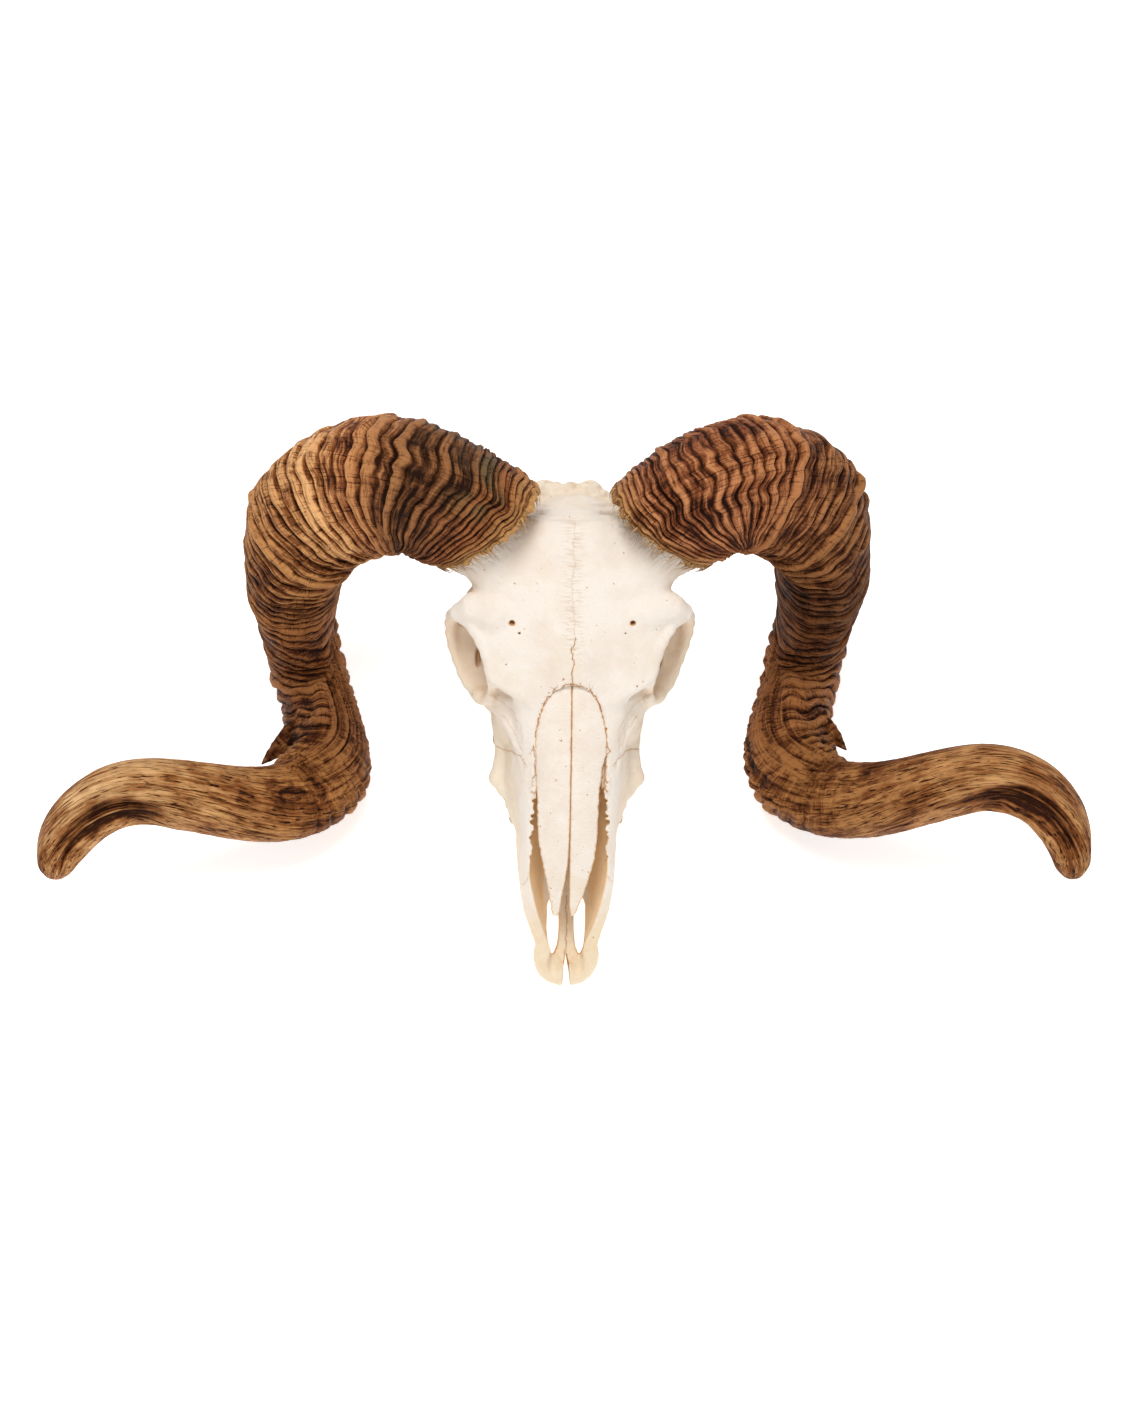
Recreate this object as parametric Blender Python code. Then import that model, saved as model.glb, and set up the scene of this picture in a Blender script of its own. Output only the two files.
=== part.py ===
"""Ram skull with both horns, lying on the tips of its muzzle and the low bends of its horns.

The skull is worked out in a frame of its own, in millimetres: x to the side (positive to the right
of the picture), u along the face towards the nape, d up out of the forehead. An empty then tilts
that frame into the pose in which the skull rests. +Z is up, the muzzle points to -Y.
"""
import math

import bmesh
import bpy
import numpy as np
import openvdb
from mathutils import Vector

MM = 0.001
GAP = 0.3                       # between two pieces that meet

# Rest: the tilt and roll of the face about X and Y, in degrees, and the shift to the origin
REST_PITCH = 33.61
REST_ROLL = 0.36
REST_SHIFT = (6.04, 0.93, 151.3)

# Bone is symmetric about a plane that leans a little in the picture
MIDLINE_AT = -0.9
MIDLINE_LEAN = 0.0095           # to the side for each millimetre of u
MIDLINE_ROLL = 0.04             # and of d

VOXEL = 1.5                     # grid of the bone's surface
BONE_TRIANGLES = 9000

# Muzzle: (u, d) of its upper and lower edge, (u, half width) at both
MUZZLE_TOP = [(-196, -47), (-182, -41), (-165, -34), (-150, -27), (-130, -17), (-100, -9), (-60, -4),
              (-25, -3), (0, 0)]
MUZZLE_LOW = [(-196, -55), (-175, -56), (-150, -58), (-120, -63), (-100, -70), (-60, -82), (-30, -88),
              (-10, -84), (10, -74)]
MUZZLE_TOP_HALF = [(-196, 15.5), (-186, 17.5), (-165, 19), (-150, 23), (-130, 24), (-105, 23),
                   (-80, 21.5), (-60, 23), (-45, 27), (-30, 31), (-15, 36), (0, 40)]
MUZZLE_LOW_HALF = [(-196, 16.5), (-186, 18.5), (-170, 17.8), (-150, 24.5), (-132, 27.5), (-117, 28.5),
                   (-109, 29), (-98, 33), (-87, 37), (-75, 40), (-60, 40), (-30, 38), (-10, 24),
                   (10, 16)]

# Forehead: (u, d) of its vault along the middle and (u, half width)
ROOF_LEVEL = [(-40, -5), (-25, -3), (0, 0), (35, 2), (58, 0), (70, -5), (76, -12)]
ROOF_HALF = [(-40, 27), (-33, 32), (-28, 39), (-23, 47), (-18, 49), (-4, 49), (5, 52), (20, 52), (35, 49),
             (60, 42), (76, 34)]

# Orbit: centre of its rim and the two half axes that span it
ORBIT = np.array([54.0, -9.0, -33.0])
ORBIT_ALONG = np.array([8.5, 24.5, 4.0])
ORBIT_ACROSS = np.array([-5.5, 1.0, 21.0])
ORBIT_OUT = np.cross(ORBIT_ALONG, ORBIT_ACROSS) / np.linalg.norm(np.cross(ORBIT_ALONG, ORBIT_ACROSS))

# Mouth of the nose: (u, half width), (u, d) of its floor and of the bone that closes it above
MOUTH_HALF = [(-196, 1), (-181, 4), (-175, 9.7), (-167, 13.6), (-159, 17.1), (-146, 19.8), (-136, 21.2),
              (-106, 20.9), (-97, 18.5), (-90, 15)]
MOUTH_FLOOR = [(-196, -46), (-176, -48), (-150, -51), (-120, -56), (-90, -58)]
MOUTH_LID = [(-97, 20), (-90, -14), (-60, -15)]

# Cheek teeth of one side from the front: length, width and height of each crown
TEETH = [(8, 8.5, 7), (9.5, 9.5, 8), (10, 11, 9), (13.5, 13, 10), (16, 13.5, 10.5), (17.5, 13, 10)]
TEETH_START = -104.0

# Nasal bone: (u, d) of its ridge, (u, x) of its inner and outer edge, (u, sway of the pair)
NASAL_LEVEL = [(-154, -25.5), (-130, -15), (-100, -7), (-60, -2.5), (-40, -1.2), (-25, -1.6)]
NASAL_INNER = [(-153.5, 3.9), (-151, 3.6), (-147, 2.9), (-141, 2.0), (-128, 0.9), (-107, 0.4), (-75, 0.8),
               (-25, 0.4)]
NASAL_OUTER = [(-153.5, 4.4), (-151, 5.6), (-147, 7.3), (-141, 9.4), (-128, 13.1), (-118, 14.8),
               (-105, 16.6), (-88, 17.6), (-60, 18.8), (-50, 18.4), (-44, 17.2), (-36, 14.7), (-31, 11.5),
               (-28, 9), (-26, 4.5), (-25.2, 1.4)]
NASAL_SWAY = [(-154, -2.2), (-143, -1.5), (-128, -0.4), (-110, 0.0)]
NASAL_THICK = 3.0
NASAL_VAULT = 26.0              # radius across the bone
NASAL_STATIONS = 22

# Planes that part the bone: the cheek cut leans forward, the snout cut stands across
CHEEK_CUT = -58.0
CHEEK_LEAN = 0.45
SNOUT_CUT = -136.0

# Horns: rows of x, u, d of the centre line, depth of the section away from the coil's axis and its
# width along the axis. The coil's axis runs to the sides through (u, d).
COIL_AXIS = (0.0, -65.0)
HORN_NORMAL = (0.64, 0.684, 0.35)
HORN_PLANE = 68.5
HORN_LEFT = [
    (-24.6, 38.7, -23.8, 64, 56), (-42.9, 57.6, -14.0, 72, 57), (-66.8, 72.0, -2.0, 76, 59),
    (-89.3, 82.2, 1.0, 77, 61), (-112.9, 84.3, -12.0, 79, 63), (-134.7, 77.7, -33.0, 77, 63),
    (-153.3, 59.3, -60.0, 72, 61), (-160.5, 37.5, -88.0, 66, 56), (-161.5, 15.1, -113.0, 58, 46),
    (-158.3, -6.7, -132.0, 53, 43), (-151.2, -31.2, -131.0, 51, 43), (-144.0, -54.5, -111.0, 48, 46),
    (-144.3, -73.9, -91.0, 48, 48), (-157.4, -87.8, -76.0, 46, 46), (-176.4, -91.9, -58.0, 43, 40),
    (-201.5, -88.5, -38.0, 40, 36), (-226.8, -84.2, -22.0, 38, 34), (-251.5, -85.0, -12.0, 36, 32),
    (-272.4, -96.8, -12.0, 34, 30), (-285.3, -113.5, -18.0, 30, 26), (-289.3, -128.5, -26.0, 20, 17),
]
HORN_RIGHT = [
    (24.6, 38.7, -23.8, 62, 56), (43.2, 57.0, -14.5, 69, 56), (64.5, 72.2, -2.0, 75, 59),
    (85.7, 82.8, 1.5, 76, 60), (107.8, 84.3, -12.0, 76, 58), (124.8, 78.0, -33.0, 74, 57),
    (138.6, 60.4, -60.0, 69, 55), (142.6, 37.5, -88.0, 64, 53), (140.9, 16.2, -113.0, 57, 46),
    (137.0, -3.9, -132.0, 53, 44), (132.0, -27.2, -132.0, 52, 44), (125.6, -50.5, -112.0, 49, 48),
    (127.8, -73.3, -91.0, 48, 49), (141.7, -86.5, -76.0, 46, 46), (163.1, -89.6, -58.0, 43, 40),
    (185.4, -85.2, -38.0, 40, 37), (211.8, -77.8, -22.0, 38, 35), (236.2, -75.8, -12.0, 37, 33),
    (260.0, -86.4, -12.0, 35, 30), (273.8, -106.3, -18.0, 31, 26), (278.0, -128.6, -26.0, 20, 17),
]
HORN_ROUND = 18                 # corners of a section
HORN_CUTS = (0.27, 0.64)        # shares of the length at which a horn is divided
HORN_STEP = 9.0                 # between the rings of the smooth end
RIDGES = 32
RIDGES_TO = 0.82                # share of the length that carries ridges
RIDGE_DEPTH = 3.4               # fading over their last third
RIDGE_RISE = 0.5                # of their crests over the mean section

BONE_COLOR = (0.78, 0.71, 0.58)
HORN_COLOR = (0.22, 0.11, 0.055)


def curve(rows, at):
    """Smooth curve without overshoot through rows of (place, value), level beyond its ends."""
    place, value = np.array(sorted(rows), float).T
    width = np.diff(place)
    rise = np.diff(value) / width
    slope = np.zeros(len(place))
    same = rise[1:] * rise[:-1] > 0
    slope[1:-1][same] = 2 * rise[1:][same] * rise[:-1][same] / (rise[1:] + rise[:-1])[same]
    slope[0], slope[-1] = rise[0], rise[-1]
    q = np.clip(at, place[0], place[-1])
    i = np.clip(np.searchsorted(place, q, side="right") - 1, 0, len(width) - 1)
    t = (q - place[i]) / width[i]
    start = value[i] * (1 + 2 * t) * (1 - t) ** 2 + slope[i] * width[i] * t * (1 - t) ** 2
    return start + value[i + 1] * t * t * (3 - 2 * t) + slope[i + 1] * width[i] * t * t * (t - 1)


def blend_min(a, b, width):
    """Smaller of two distances, rounded where they are closer than width."""
    h = np.clip(0.5 + 0.5 * (b - a) / width, 0, 1)
    return b + (a - b) * h - width * h * (1 - h)


def blend_max(a, b, width):
    return -blend_min(-a, -b, width)


# Shapes: each gives its distance function and the corners of the box that it lies in

def ball(center, radii):
    """Ellipsoid."""
    center, radii = np.array(center, float), np.array(radii, float)

    def distance(x, u, d):
        a, b, c = ((q - m) / r for q, m, r in zip((x, u, d), center, radii))
        q = np.sqrt(a * a + b * b + c * c)
        g = np.sqrt((a / radii[0]) ** 2 + (b / radii[1]) ** 2 + (c / radii[2]) ** 2)
        return q * (q - 1) / np.maximum(g, 1e-6)

    return distance, center - radii, center + radii


def rod(*points):
    """Chain of tapered rods through points of (x, u, d, radius)."""
    points = np.array(points, float)

    def distance(x, u, d):
        out = None
        for a, b in zip(points[:-1], points[1:]):
            v = b[:3] - a[:3]
            q = (x - a[0], u - a[1], d - a[2])
            t = np.clip((q[0] * v[0] + q[1] * v[1] + q[2] * v[2]) / (v @ v), 0, 1)
            away = np.sqrt((q[0] - v[0] * t) ** 2 + (q[1] - v[1] * t) ** 2 + (q[2] - v[2] * t) ** 2)
            side = away - a[3] - (b[3] - a[3]) * t
            out = side if out is None else blend_min(out, side, 2.0)
        return out

    return distance, (points[:, :3] - points[:, 3:]).min(0), (points[:, :3] + points[:, 3:]).max(0)


def block(center, half, round_by):
    """Box with rounded edges."""
    center, half = np.array(center, float), np.array(half, float)

    def distance(x, u, d):
        q = [np.abs(a - m) - h + round_by for a, m, h in zip((x, u, d), center, half)]
        out = np.sqrt(sum(np.maximum(a, 0) ** 2 for a in q))
        return out + np.minimum(np.maximum(np.maximum(q[0], q[1]), q[2]), 0) - round_by

    return distance, center - half, center + half


class Field:
    """Distances to the bone's surface, under zero inside, on a grid over the right half."""

    def __init__(self, low, high, step):
        self.step = step
        self.low, self.high = np.array(low, float), np.array(high, float)
        self.axes = [np.arange(a, b, step, dtype=np.float32) for a, b in zip(low, high)]
        self.value = np.full([len(a) for a in self.axes], 30.0, np.float32)

    def window(self, low, high, margin):
        """Slices of the grid over a box, and the coordinates in it."""
        cuts = []
        for axis, a, b in zip(self.axes, low, high):
            i = int(np.searchsorted(axis, a - margin))
            j = int(np.searchsorted(axis, b + margin))
            cuts.append(slice(i, max(j, i + 1)))
        x, u, d = (axis[cut] for axis, cut in zip(self.axes, cuts))
        return tuple(cuts), (x[:, None, None], u[None, :, None], d[None, None, :])

    def join(self, shape, blend=1.0):
        distance, low, high = shape
        cuts, place = self.window(low, high, blend + 4 * self.step)
        self.value[cuts] = blend_min(self.value[cuts], distance(*place), blend)

    def cut(self, shape, blend=1.0):
        distance, low, high = shape
        cuts, place = self.window(low, high, blend + 4 * self.step)
        self.value[cuts] = blend_max(self.value[cuts], -distance(*place), blend)

    def surface(self):
        """Points and faces of the whole surface, the left half mirrored from the right."""
        whole = np.concatenate([self.value[:0:-1], self.value]).astype(np.float32)
        grid = openvdb.FloatGrid(30.0)
        grid.copyFromArray(whole)
        points, faces = grid.convertToQuads()
        low = self.low - np.array([(len(self.axes[0]) - 1) * self.step, 0, 0])
        return points * self.step + low, faces


def boxed(distance, low_u, high_u):
    """A distance function that holds for the whole width and depth between two places."""
    return distance, np.array([0.0, low_u, -130.0]), np.array([90.0, high_u, 30.0])


def muzzle():
    """Section narrow above and wide below with a vaulted top, carried along u."""
    def distance(x, u, d):
        top, low = curve(MUZZLE_TOP, u), curve(MUZZLE_LOW, u)
        narrow, wide = curve(MUZZLE_TOP_HALF, u), curve(MUZZLE_LOW_HALF, u)
        down = np.clip((top - d) / (top - low), 0, 1)
        side = x - narrow - (wide - narrow) * down ** 0.8
        out = blend_max(side / np.sqrt(1 + ((wide - narrow) / (top - low)) ** 2), d - top + x * x / 76.0, 6)
        out = blend_max(out, low - d, 5)
        out = blend_max(out, -195.2 - u, 8)
        return blend_max(out, u - 2, 8)
    return boxed(distance, -196, 4)


def roof():
    """Forehead, a vaulted slab."""
    def distance(x, u, d):
        top = curve(ROOF_LEVEL, u)
        out = blend_max(d - top + x * x / 300.0, top - 13 - d, 6)
        out = blend_max(out, x - curve(ROOF_HALF, u), 6)
        out = blend_max(out, u - 70, 8)
        return blend_max(out, -38 - u, 10)
    return boxed(distance, -40, 72)


def orbit_cup():
    """Cone behind the lower and front part of the rim, which the eye's hollow opens."""
    along, across = (v / np.linalg.norm(v) for v in (ORBIT_ALONG, ORBIT_ACROSS))

    def distance(x, u, d):
        q = (x - ORBIT[0], u - ORBIT[1], d - ORBIT[2])
        a, b, c = (q[0] * e[0] + q[1] * e[1] + q[2] * e[2] for e in (along, across, ORBIT_OUT))
        out = (np.sqrt((a / 27.5) ** 2 + (b / 23.5) ** 2) - 1 - c * 0.01) * 22
        out = blend_max(out, c - 1.0, 3)
        out = blend_max(out, -34 - c, 3)
        return blend_max(out, a - 2 + b * 0.35, 6)
    return distance, ORBIT - 42, ORBIT + 42


def orbit_rim():
    """Ring of bone round the orbit, thickest behind."""
    turns = [2 * math.pi * i / 20 for i in range(21)]
    places = [ORBIT + ORBIT_ALONG * math.cos(t) + ORBIT_ACROSS * math.sin(t) for t in turns]
    return rod(*[(*place, 3.2 + 1.2 * max(0.0, math.cos(t))) for place, t in zip(places, turns)])


def nose_mouth():
    """Open mouth of the nose, wider above than at its floor."""
    def distance(x, u, d):
        floor = curve(MOUTH_FLOOR, u)
        up = np.clip((d - floor) / 30, 0, 1)
        out = blend_max(x - curve(MOUTH_HALF, u) * (0.62 + 0.38 * up), floor - d, 4)
        out = blend_max(out, -181 - u, 3)
        out = blend_max(out, u + 64, 3)
        return blend_max(out, d - curve(MOUTH_LID, u), 2)
    return boxed(distance, -182, -62)


def palate_slot():
    """Gap beside the middle rods of the snout, right through."""
    half = [(-177, 0.4), (-170, 2.6), (-160, 3.3), (-150, 3.2), (-142, 0.4)]

    def distance(x, u, d):
        out = blend_max(np.abs(x - 7.6) - curve(half, u), np.abs(d + 54) - 14, 2)
        out = blend_max(out, -177 - u, 2)
        return blend_max(out, u + 142, 2)
    return boxed(distance, -178, -140)


def tip_notch():
    """Cleft between the two tips of the snout."""
    half = [(-196, 2.1), (-185, 1.6), (-179, 0.8), (-173, 0.1)]

    def distance(x, u, d):
        return blend_max(x - curve(half, u), u + 173, 1)
    return boxed(distance, -200, -172)


def tooth_row():
    """The crowns of one side, each a rounded block sunk into the jaw."""
    at = TEETH_START
    total = sum(length for length, _, _ in TEETH)
    for length, width, height in TEETH:
        middle = at + length / 2
        at += length
        share = (middle - TEETH_START) / total
        center = (27 + 7.5 * math.sin(share * 2.2), middle, -71 - 18 * share - height / 2)
        yield block(center, (width / 2, length / 2 - 0.4, height / 2 + 5), 2.2)


def bone_field():
    """The whole skull without horns and nasal bones."""
    f = Field((0, -205, -132), (96, 102, 32), VOXEL)
    f.join(muzzle(), 1)
    f.join(roof(), 6)
    add_braincase(f)
    add_orbit(f)
    add_cheek(f)
    cut_palate(f)
    f.cut(nose_mouth(), 1.5)
    f.cut(palate_slot(), 1.5)
    f.cut(tip_notch(), 1)
    for tooth in tooth_row():
        f.join(tooth, 1.2)
    return f


def add_braincase(f):
    """Core, braincase, nape with its crest and condyles, ear capsules and the horns' stumps."""
    f.join(ball((0, -8, -40), (22, 48, 44)), 8)
    f.join(ball((0, 38, -44), (38, 44, 42)), 8)
    f.join(ball((0, 68, -64), (35, 17, 28)), 8)
    f.join(rod((0, -12, -70, 12), (0, 30, -80, 13), (0, 76, -90, 12)), 7)
    nape_crest = [(0, 86, -46, 3.6), (12, 85.5, -48, 3.6), (23, 80, -54, 3.6), (32, 73, -64, 3.4),
                  (37, 64, -80, 3.2)]
    f.join(rod(*nape_crest), 5)
    condyle = ball((13, 82, -95), (9.5, 12, 11))
    f.join(condyle, 4)
    jugular_process = rod((27, 70, -86, 6), (27, 70, -100, 4.5), (26, 67, -119, 3))
    f.join(jugular_process, 5)
    ear_capsule = ball((20, 46, -93), (8, 12, 11))
    f.join(ear_capsule, 4)
    ear_tube = rod((24, 52, -88, 6), (38, 55, -80, 5))
    f.join(ear_tube, 4)
    wing = rod((15, -22, -84, 3), (14, 0, -86, 2.6), (14, 14, -82, 2.6))
    f.join(wing, 4)
    horn_stump = rod((36, 34, -24, 18), (47, 52, -18, 21.5), (66, 67, -9, 24))
    f.join(horn_stump, 9)


def add_orbit(f):
    """The eye's hollow with its rim, the brow behind it and the temple's hollow."""
    f.join(rod((31, -50, -52, 8), (34.5, -39, -54, 6), (45, -26, -54, 6)), 4)
    f.join(orbit_cup(), 5)
    temple = ball((56, 34, -48), (18, 16, 26))
    f.cut(temple, 5)
    eye = ball(ORBIT + ORBIT_OUT * 1.5, (34, 22.5, 19.5))
    f.cut(eye, 4)
    f.join(orbit_rim(), 3)
    brow = rod((42, 15, -9, 9), (55, 18.5, -12, 7.5), (62.5, 16, -18, 5.0))
    f.join(brow, 5)


def add_cheek(f):
    """Cheek arch, the crest that runs on from it down the jaw and the hollows above."""
    arch = [(36, -47, -59, 4.2), (39.5, -38.5, -57, 3.2), (50, -29, -56, 3.8), (55, -22, -57, 3.8),
            (58, -12, -59, 3.6), (60, 0, -61, 3.5), (60, 10, -63, 3.4), (54, 26, -66, 3.6),
            (46, 40, -69, 4), (38, 52, -72, 5)]
    f.join(rod(*arch), 5)
    f.join(rod(*[(x, u, d - 6, 3.0) for x, u, d, _ in arch[1:7]]), 3)
    jaw_crest = [(35, -84, -63, 4), (39.6, -77.5, -62, 4.2), (37, -67, -60, 4), (37, -56, -60, 4),
                 (38.5, -44, -60, 4)]
    f.join(rod(*jaw_crest), 5)
    face_ridge = [(50, -30.5, -44, 3.4), (41.5, -37, -40, 3.2), (35, -45, -32, 3.2),
                  (29, -56, -25, 2.8), (25.5, -68, -19, 1.6)]
    f.join(rod(*face_ridge), 4)
    tear_hollow = ball((41, -34, -27), (8, 5.5, 10))
    f.cut(tear_hollow, 4)
    f.cut(ball((50, -60, -38), (12, 22, 15)), 7)
    f.cut(ball((43, -99, -36), (13, 26, 16)), 8)


def cut_palate(f):
    """Vault of the palate, the passage behind it and the opening for the spine."""
    f.cut(ball((0, -70, -99), (19, 48, 20)), 5)
    f.cut(rod((0, -22, -78, 10), (0, 6, -84, 8), (0, 20, -88, 4)), 4)
    f.cut(ball((0, 90, -80), (10, 22, 9)), 3)


def lean(points):
    """Move points of the symmetric frame to where the leaning midline has them."""
    out = np.array(points, float)
    out[:, 0] += MIDLINE_AT + MIDLINE_LEAN * out[:, 1] + MIDLINE_ROLL * out[:, 2]
    return out


def make_material(name, color, roughness):
    material = bpy.data.materials.new(name)
    material.use_nodes = True
    shader = material.node_tree.nodes["Principled BSDF"]
    shader.inputs["Base Color"].default_value = (*color, 1.0)
    shader.inputs["Roughness"].default_value = roughness
    shader.inputs["Metallic"].default_value = 0.0
    material.diffuse_color = (*color, 1.0)
    return material


def make_object(name, points, faces):
    """Closed mesh from points in millimetres, its faces turned outwards."""
    mesh = bpy.data.meshes.new(name)
    mesh.from_pydata([tuple(p) for p in np.asarray(points) * MM], [], [tuple(f) for f in faces])
    bm = bmesh.new()
    bm.from_mesh(mesh)
    bmesh.ops.recalc_face_normals(bm, faces=bm.faces)
    bm.to_mesh(mesh)
    bm.free()
    thing = bpy.data.objects.new(name, mesh)
    bpy.context.scene.collection.objects.link(thing)
    return thing


def apply_modifiers(thing):
    thing_now = thing.evaluated_get(bpy.context.evaluated_depsgraph_get())
    mesh = bpy.data.meshes.new_from_object(thing_now)
    thing.modifiers.clear()
    thing.data = mesh


def subtract(thing, cutter):
    """Take a closed cutter out of a thing for good."""
    modifier = thing.modifiers.new("cut", "BOOLEAN")
    modifier.operation = "DIFFERENCE"
    modifier.solver = "EXACT"
    modifier.object = cutter
    apply_modifiers(thing)
    bpy.data.objects.remove(cutter)


def slab(center, normal, size, thick):
    """Flat cutter of a given thickness, centred on a point of the plane."""
    turn = Vector(normal).to_track_quat("Z", "Y").to_matrix()
    corners = [(sx, sy, sz) for sx in (-0.5, 0.5) for sy in (-0.5, 0.5) for sz in (-0.5, 0.5)]
    points = [Vector(center) + turn @ Vector((x * size[0], y * size[1], z * thick)) for x, y, z in corners]
    faces = [(0, 1, 3, 2), (4, 6, 7, 5), (0, 4, 5, 1), (2, 3, 7, 6), (0, 2, 6, 4), (1, 5, 7, 3)]
    return make_object("cutter", points, faces)


def islands(thing):
    """Sets of vertex indices of the separate closed surfaces, largest first."""
    bm = bmesh.new()
    bm.from_mesh(thing.data)
    seen, found = set(), []
    for vert in bm.verts:
        if vert.index in seen:
            continue
        group, edge_of_group = {vert.index}, [vert]
        while edge_of_group:
            for edge in edge_of_group.pop().link_edges:
                for other in edge.verts:
                    if other.index not in group:
                        group.add(other.index)
                        edge_of_group.append(other)
        seen |= group
        found.append(group)
    bm.free()
    return sorted(found, key=len, reverse=True)


def take(thing, group, name):
    """New object from one group of a thing's vertices."""
    index = sorted(group)
    place = {old: new for new, old in enumerate(index)}
    points = [np.array(thing.data.vertices[i].co) / MM for i in index]
    faces = [[place[i] for i in poly.vertices] for poly in thing.data.polygons if poly.vertices[0] in place]
    return make_object(name, points, faces)


def nasal_ring(u, grow, whole):
    """Section of a nasal bone at u, or of the bed of both bones where whole is set."""
    outer = float(curve(NASAL_OUTER, u)) + grow
    inner = -outer if whole else float(curve(NASAL_INNER, u))
    level = float(curve(NASAL_LEVEL, u))
    thick = NASAL_THICK * min(1.0, 0.45 + 0.03 * (u + 154))
    across = np.linspace(inner, outer, 11 if whole else 7)
    arch = level - across ** 2 / (2 * NASAL_VAULT)
    above = arch + (8.0 if whole else 0.0)
    below = arch - thick - grow
    sway = float(curve(NASAL_SWAY, u))
    top = [(x + sway, u, d) for x, d in zip(across, above)]
    return top + [(x + sway, u, d) for x, d in zip(across[::-1], below[::-1])]


def loft(name, rings):
    """Closed skin over rings of equal length with flat ends."""
    count = len(rings[0])
    points = np.array([p for ring in rings for p in ring])
    faces = []
    for i in range(len(rings) - 1):
        for j in range(count):
            k = (j + 1) % count
            faces.append((i * count + j, i * count + k, (i + 1) * count + k, (i + 1) * count + j))
    faces.append(tuple(range(count)))
    faces.append(tuple(range((len(rings) - 1) * count, len(rings) * count)))
    return make_object(name, points, faces)


def nasal_stations(grow):
    share = np.linspace(0, 1, NASAL_STATIONS)
    share = 0.5 - 0.5 * np.cos(np.pi * share)
    return -153.4 - grow + share * (153.4 - 25.4 + 2 * grow)


def make_nasals():
    """Right nasal bone and its mirror image, each closed."""
    for name, side in (("nasal_right", 1), ("nasal_left", -1)):
        rings = []
        for u in nasal_stations(0.0):
            sway = float(curve(NASAL_SWAY, u))
            ring = [((x - sway) * side + sway, v, d) for x, v, d in nasal_ring(u, 0.0, False)]
            rings.append(lean(ring))
        yield loft(name, rings)


def make_bone():
    """Skull without nasal bones and horns, parted into its four pieces."""
    points, faces = bone_field().surface()
    whole = make_object("bone", lean(points), faces)
    modifier = whole.modifiers.new("thin out", "DECIMATE")
    modifier.ratio = BONE_TRIANGLES / (2.0 * len(faces))
    apply_modifiers(whole)
    bed = [lean(nasal_ring(u, GAP, True)) for u in nasal_stations(GAP)]
    subtract(whole, loft("cutter", bed))
    for side in (-1, 1):
        normal = Vector((side * HORN_NORMAL[0], HORN_NORMAL[1], HORN_NORMAL[2])).normalized()
        subtract(whole, slab(normal * (HORN_PLANE + 60 - GAP / 2), normal, (150, 150), 120))
    cheek = (0, CHEEK_CUT - 20, -10 + 20 / CHEEK_LEAN)
    subtract(whole, slab(cheek, (0, 1, CHEEK_LEAN), (260, 300), GAP))
    subtract(whole, slab((0, SNOUT_CUT, -50), (0, 1, 0), (160, 160), GAP))
    between_tips = lean([(0, -167, -50)])[0]
    subtract(whole, slab(between_tips, (1, -MIDLINE_LEAN, -MIDLINE_ROLL), (100, 62), GAP))
    groups = islands(whole)
    parts = []
    for group in groups[:4]:
        center = np.mean([np.array(whole.data.vertices[i].co) for i in group], axis=0) / MM
        if center[1] > CHEEK_CUT:
            name = "cranium"
        elif center[1] > SNOUT_CUT:
            name = "upper_jaw"
        else:
            name = "premaxilla_right" if center[0] > -4.5 else "premaxilla_left"
        parts.append(take(whole, group, name))
    bpy.data.objects.remove(whole)
    return parts


def spline(rows, share):
    """Natural cubic through rows, spaced by the distance of their places."""
    rows = np.array(rows, float)
    chord = np.concatenate([[0], np.cumsum(np.linalg.norm(np.diff(rows[:, :3], axis=0), axis=1))])
    h = np.diff(chord)
    count = len(rows)
    system = np.zeros((count, count))
    right = np.zeros((count, rows.shape[1]))
    system[0, 0] = system[-1, -1] = 1
    for i in range(1, count - 1):
        system[i, i - 1:i + 2] = h[i - 1], 2 * (h[i - 1] + h[i]), h[i]
        right[i] = 6 * ((rows[i + 1] - rows[i]) / h[i] - (rows[i] - rows[i - 1]) / h[i - 1])
    bend = np.linalg.solve(system, right)
    at = np.asarray(share) * chord[-1]
    i = np.clip(np.searchsorted(chord, at, side="right") - 1, 0, count - 2)
    a = ((chord[i + 1] - at) / h[i])[:, None]
    b = 1 - a
    sag = ((a ** 3 - a) * bend[i] + (b ** 3 - b) * bend[i + 1]) * (h[i] ** 2)[:, None] / 6
    return a * rows[i] + b * rows[i + 1] + sag


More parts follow.
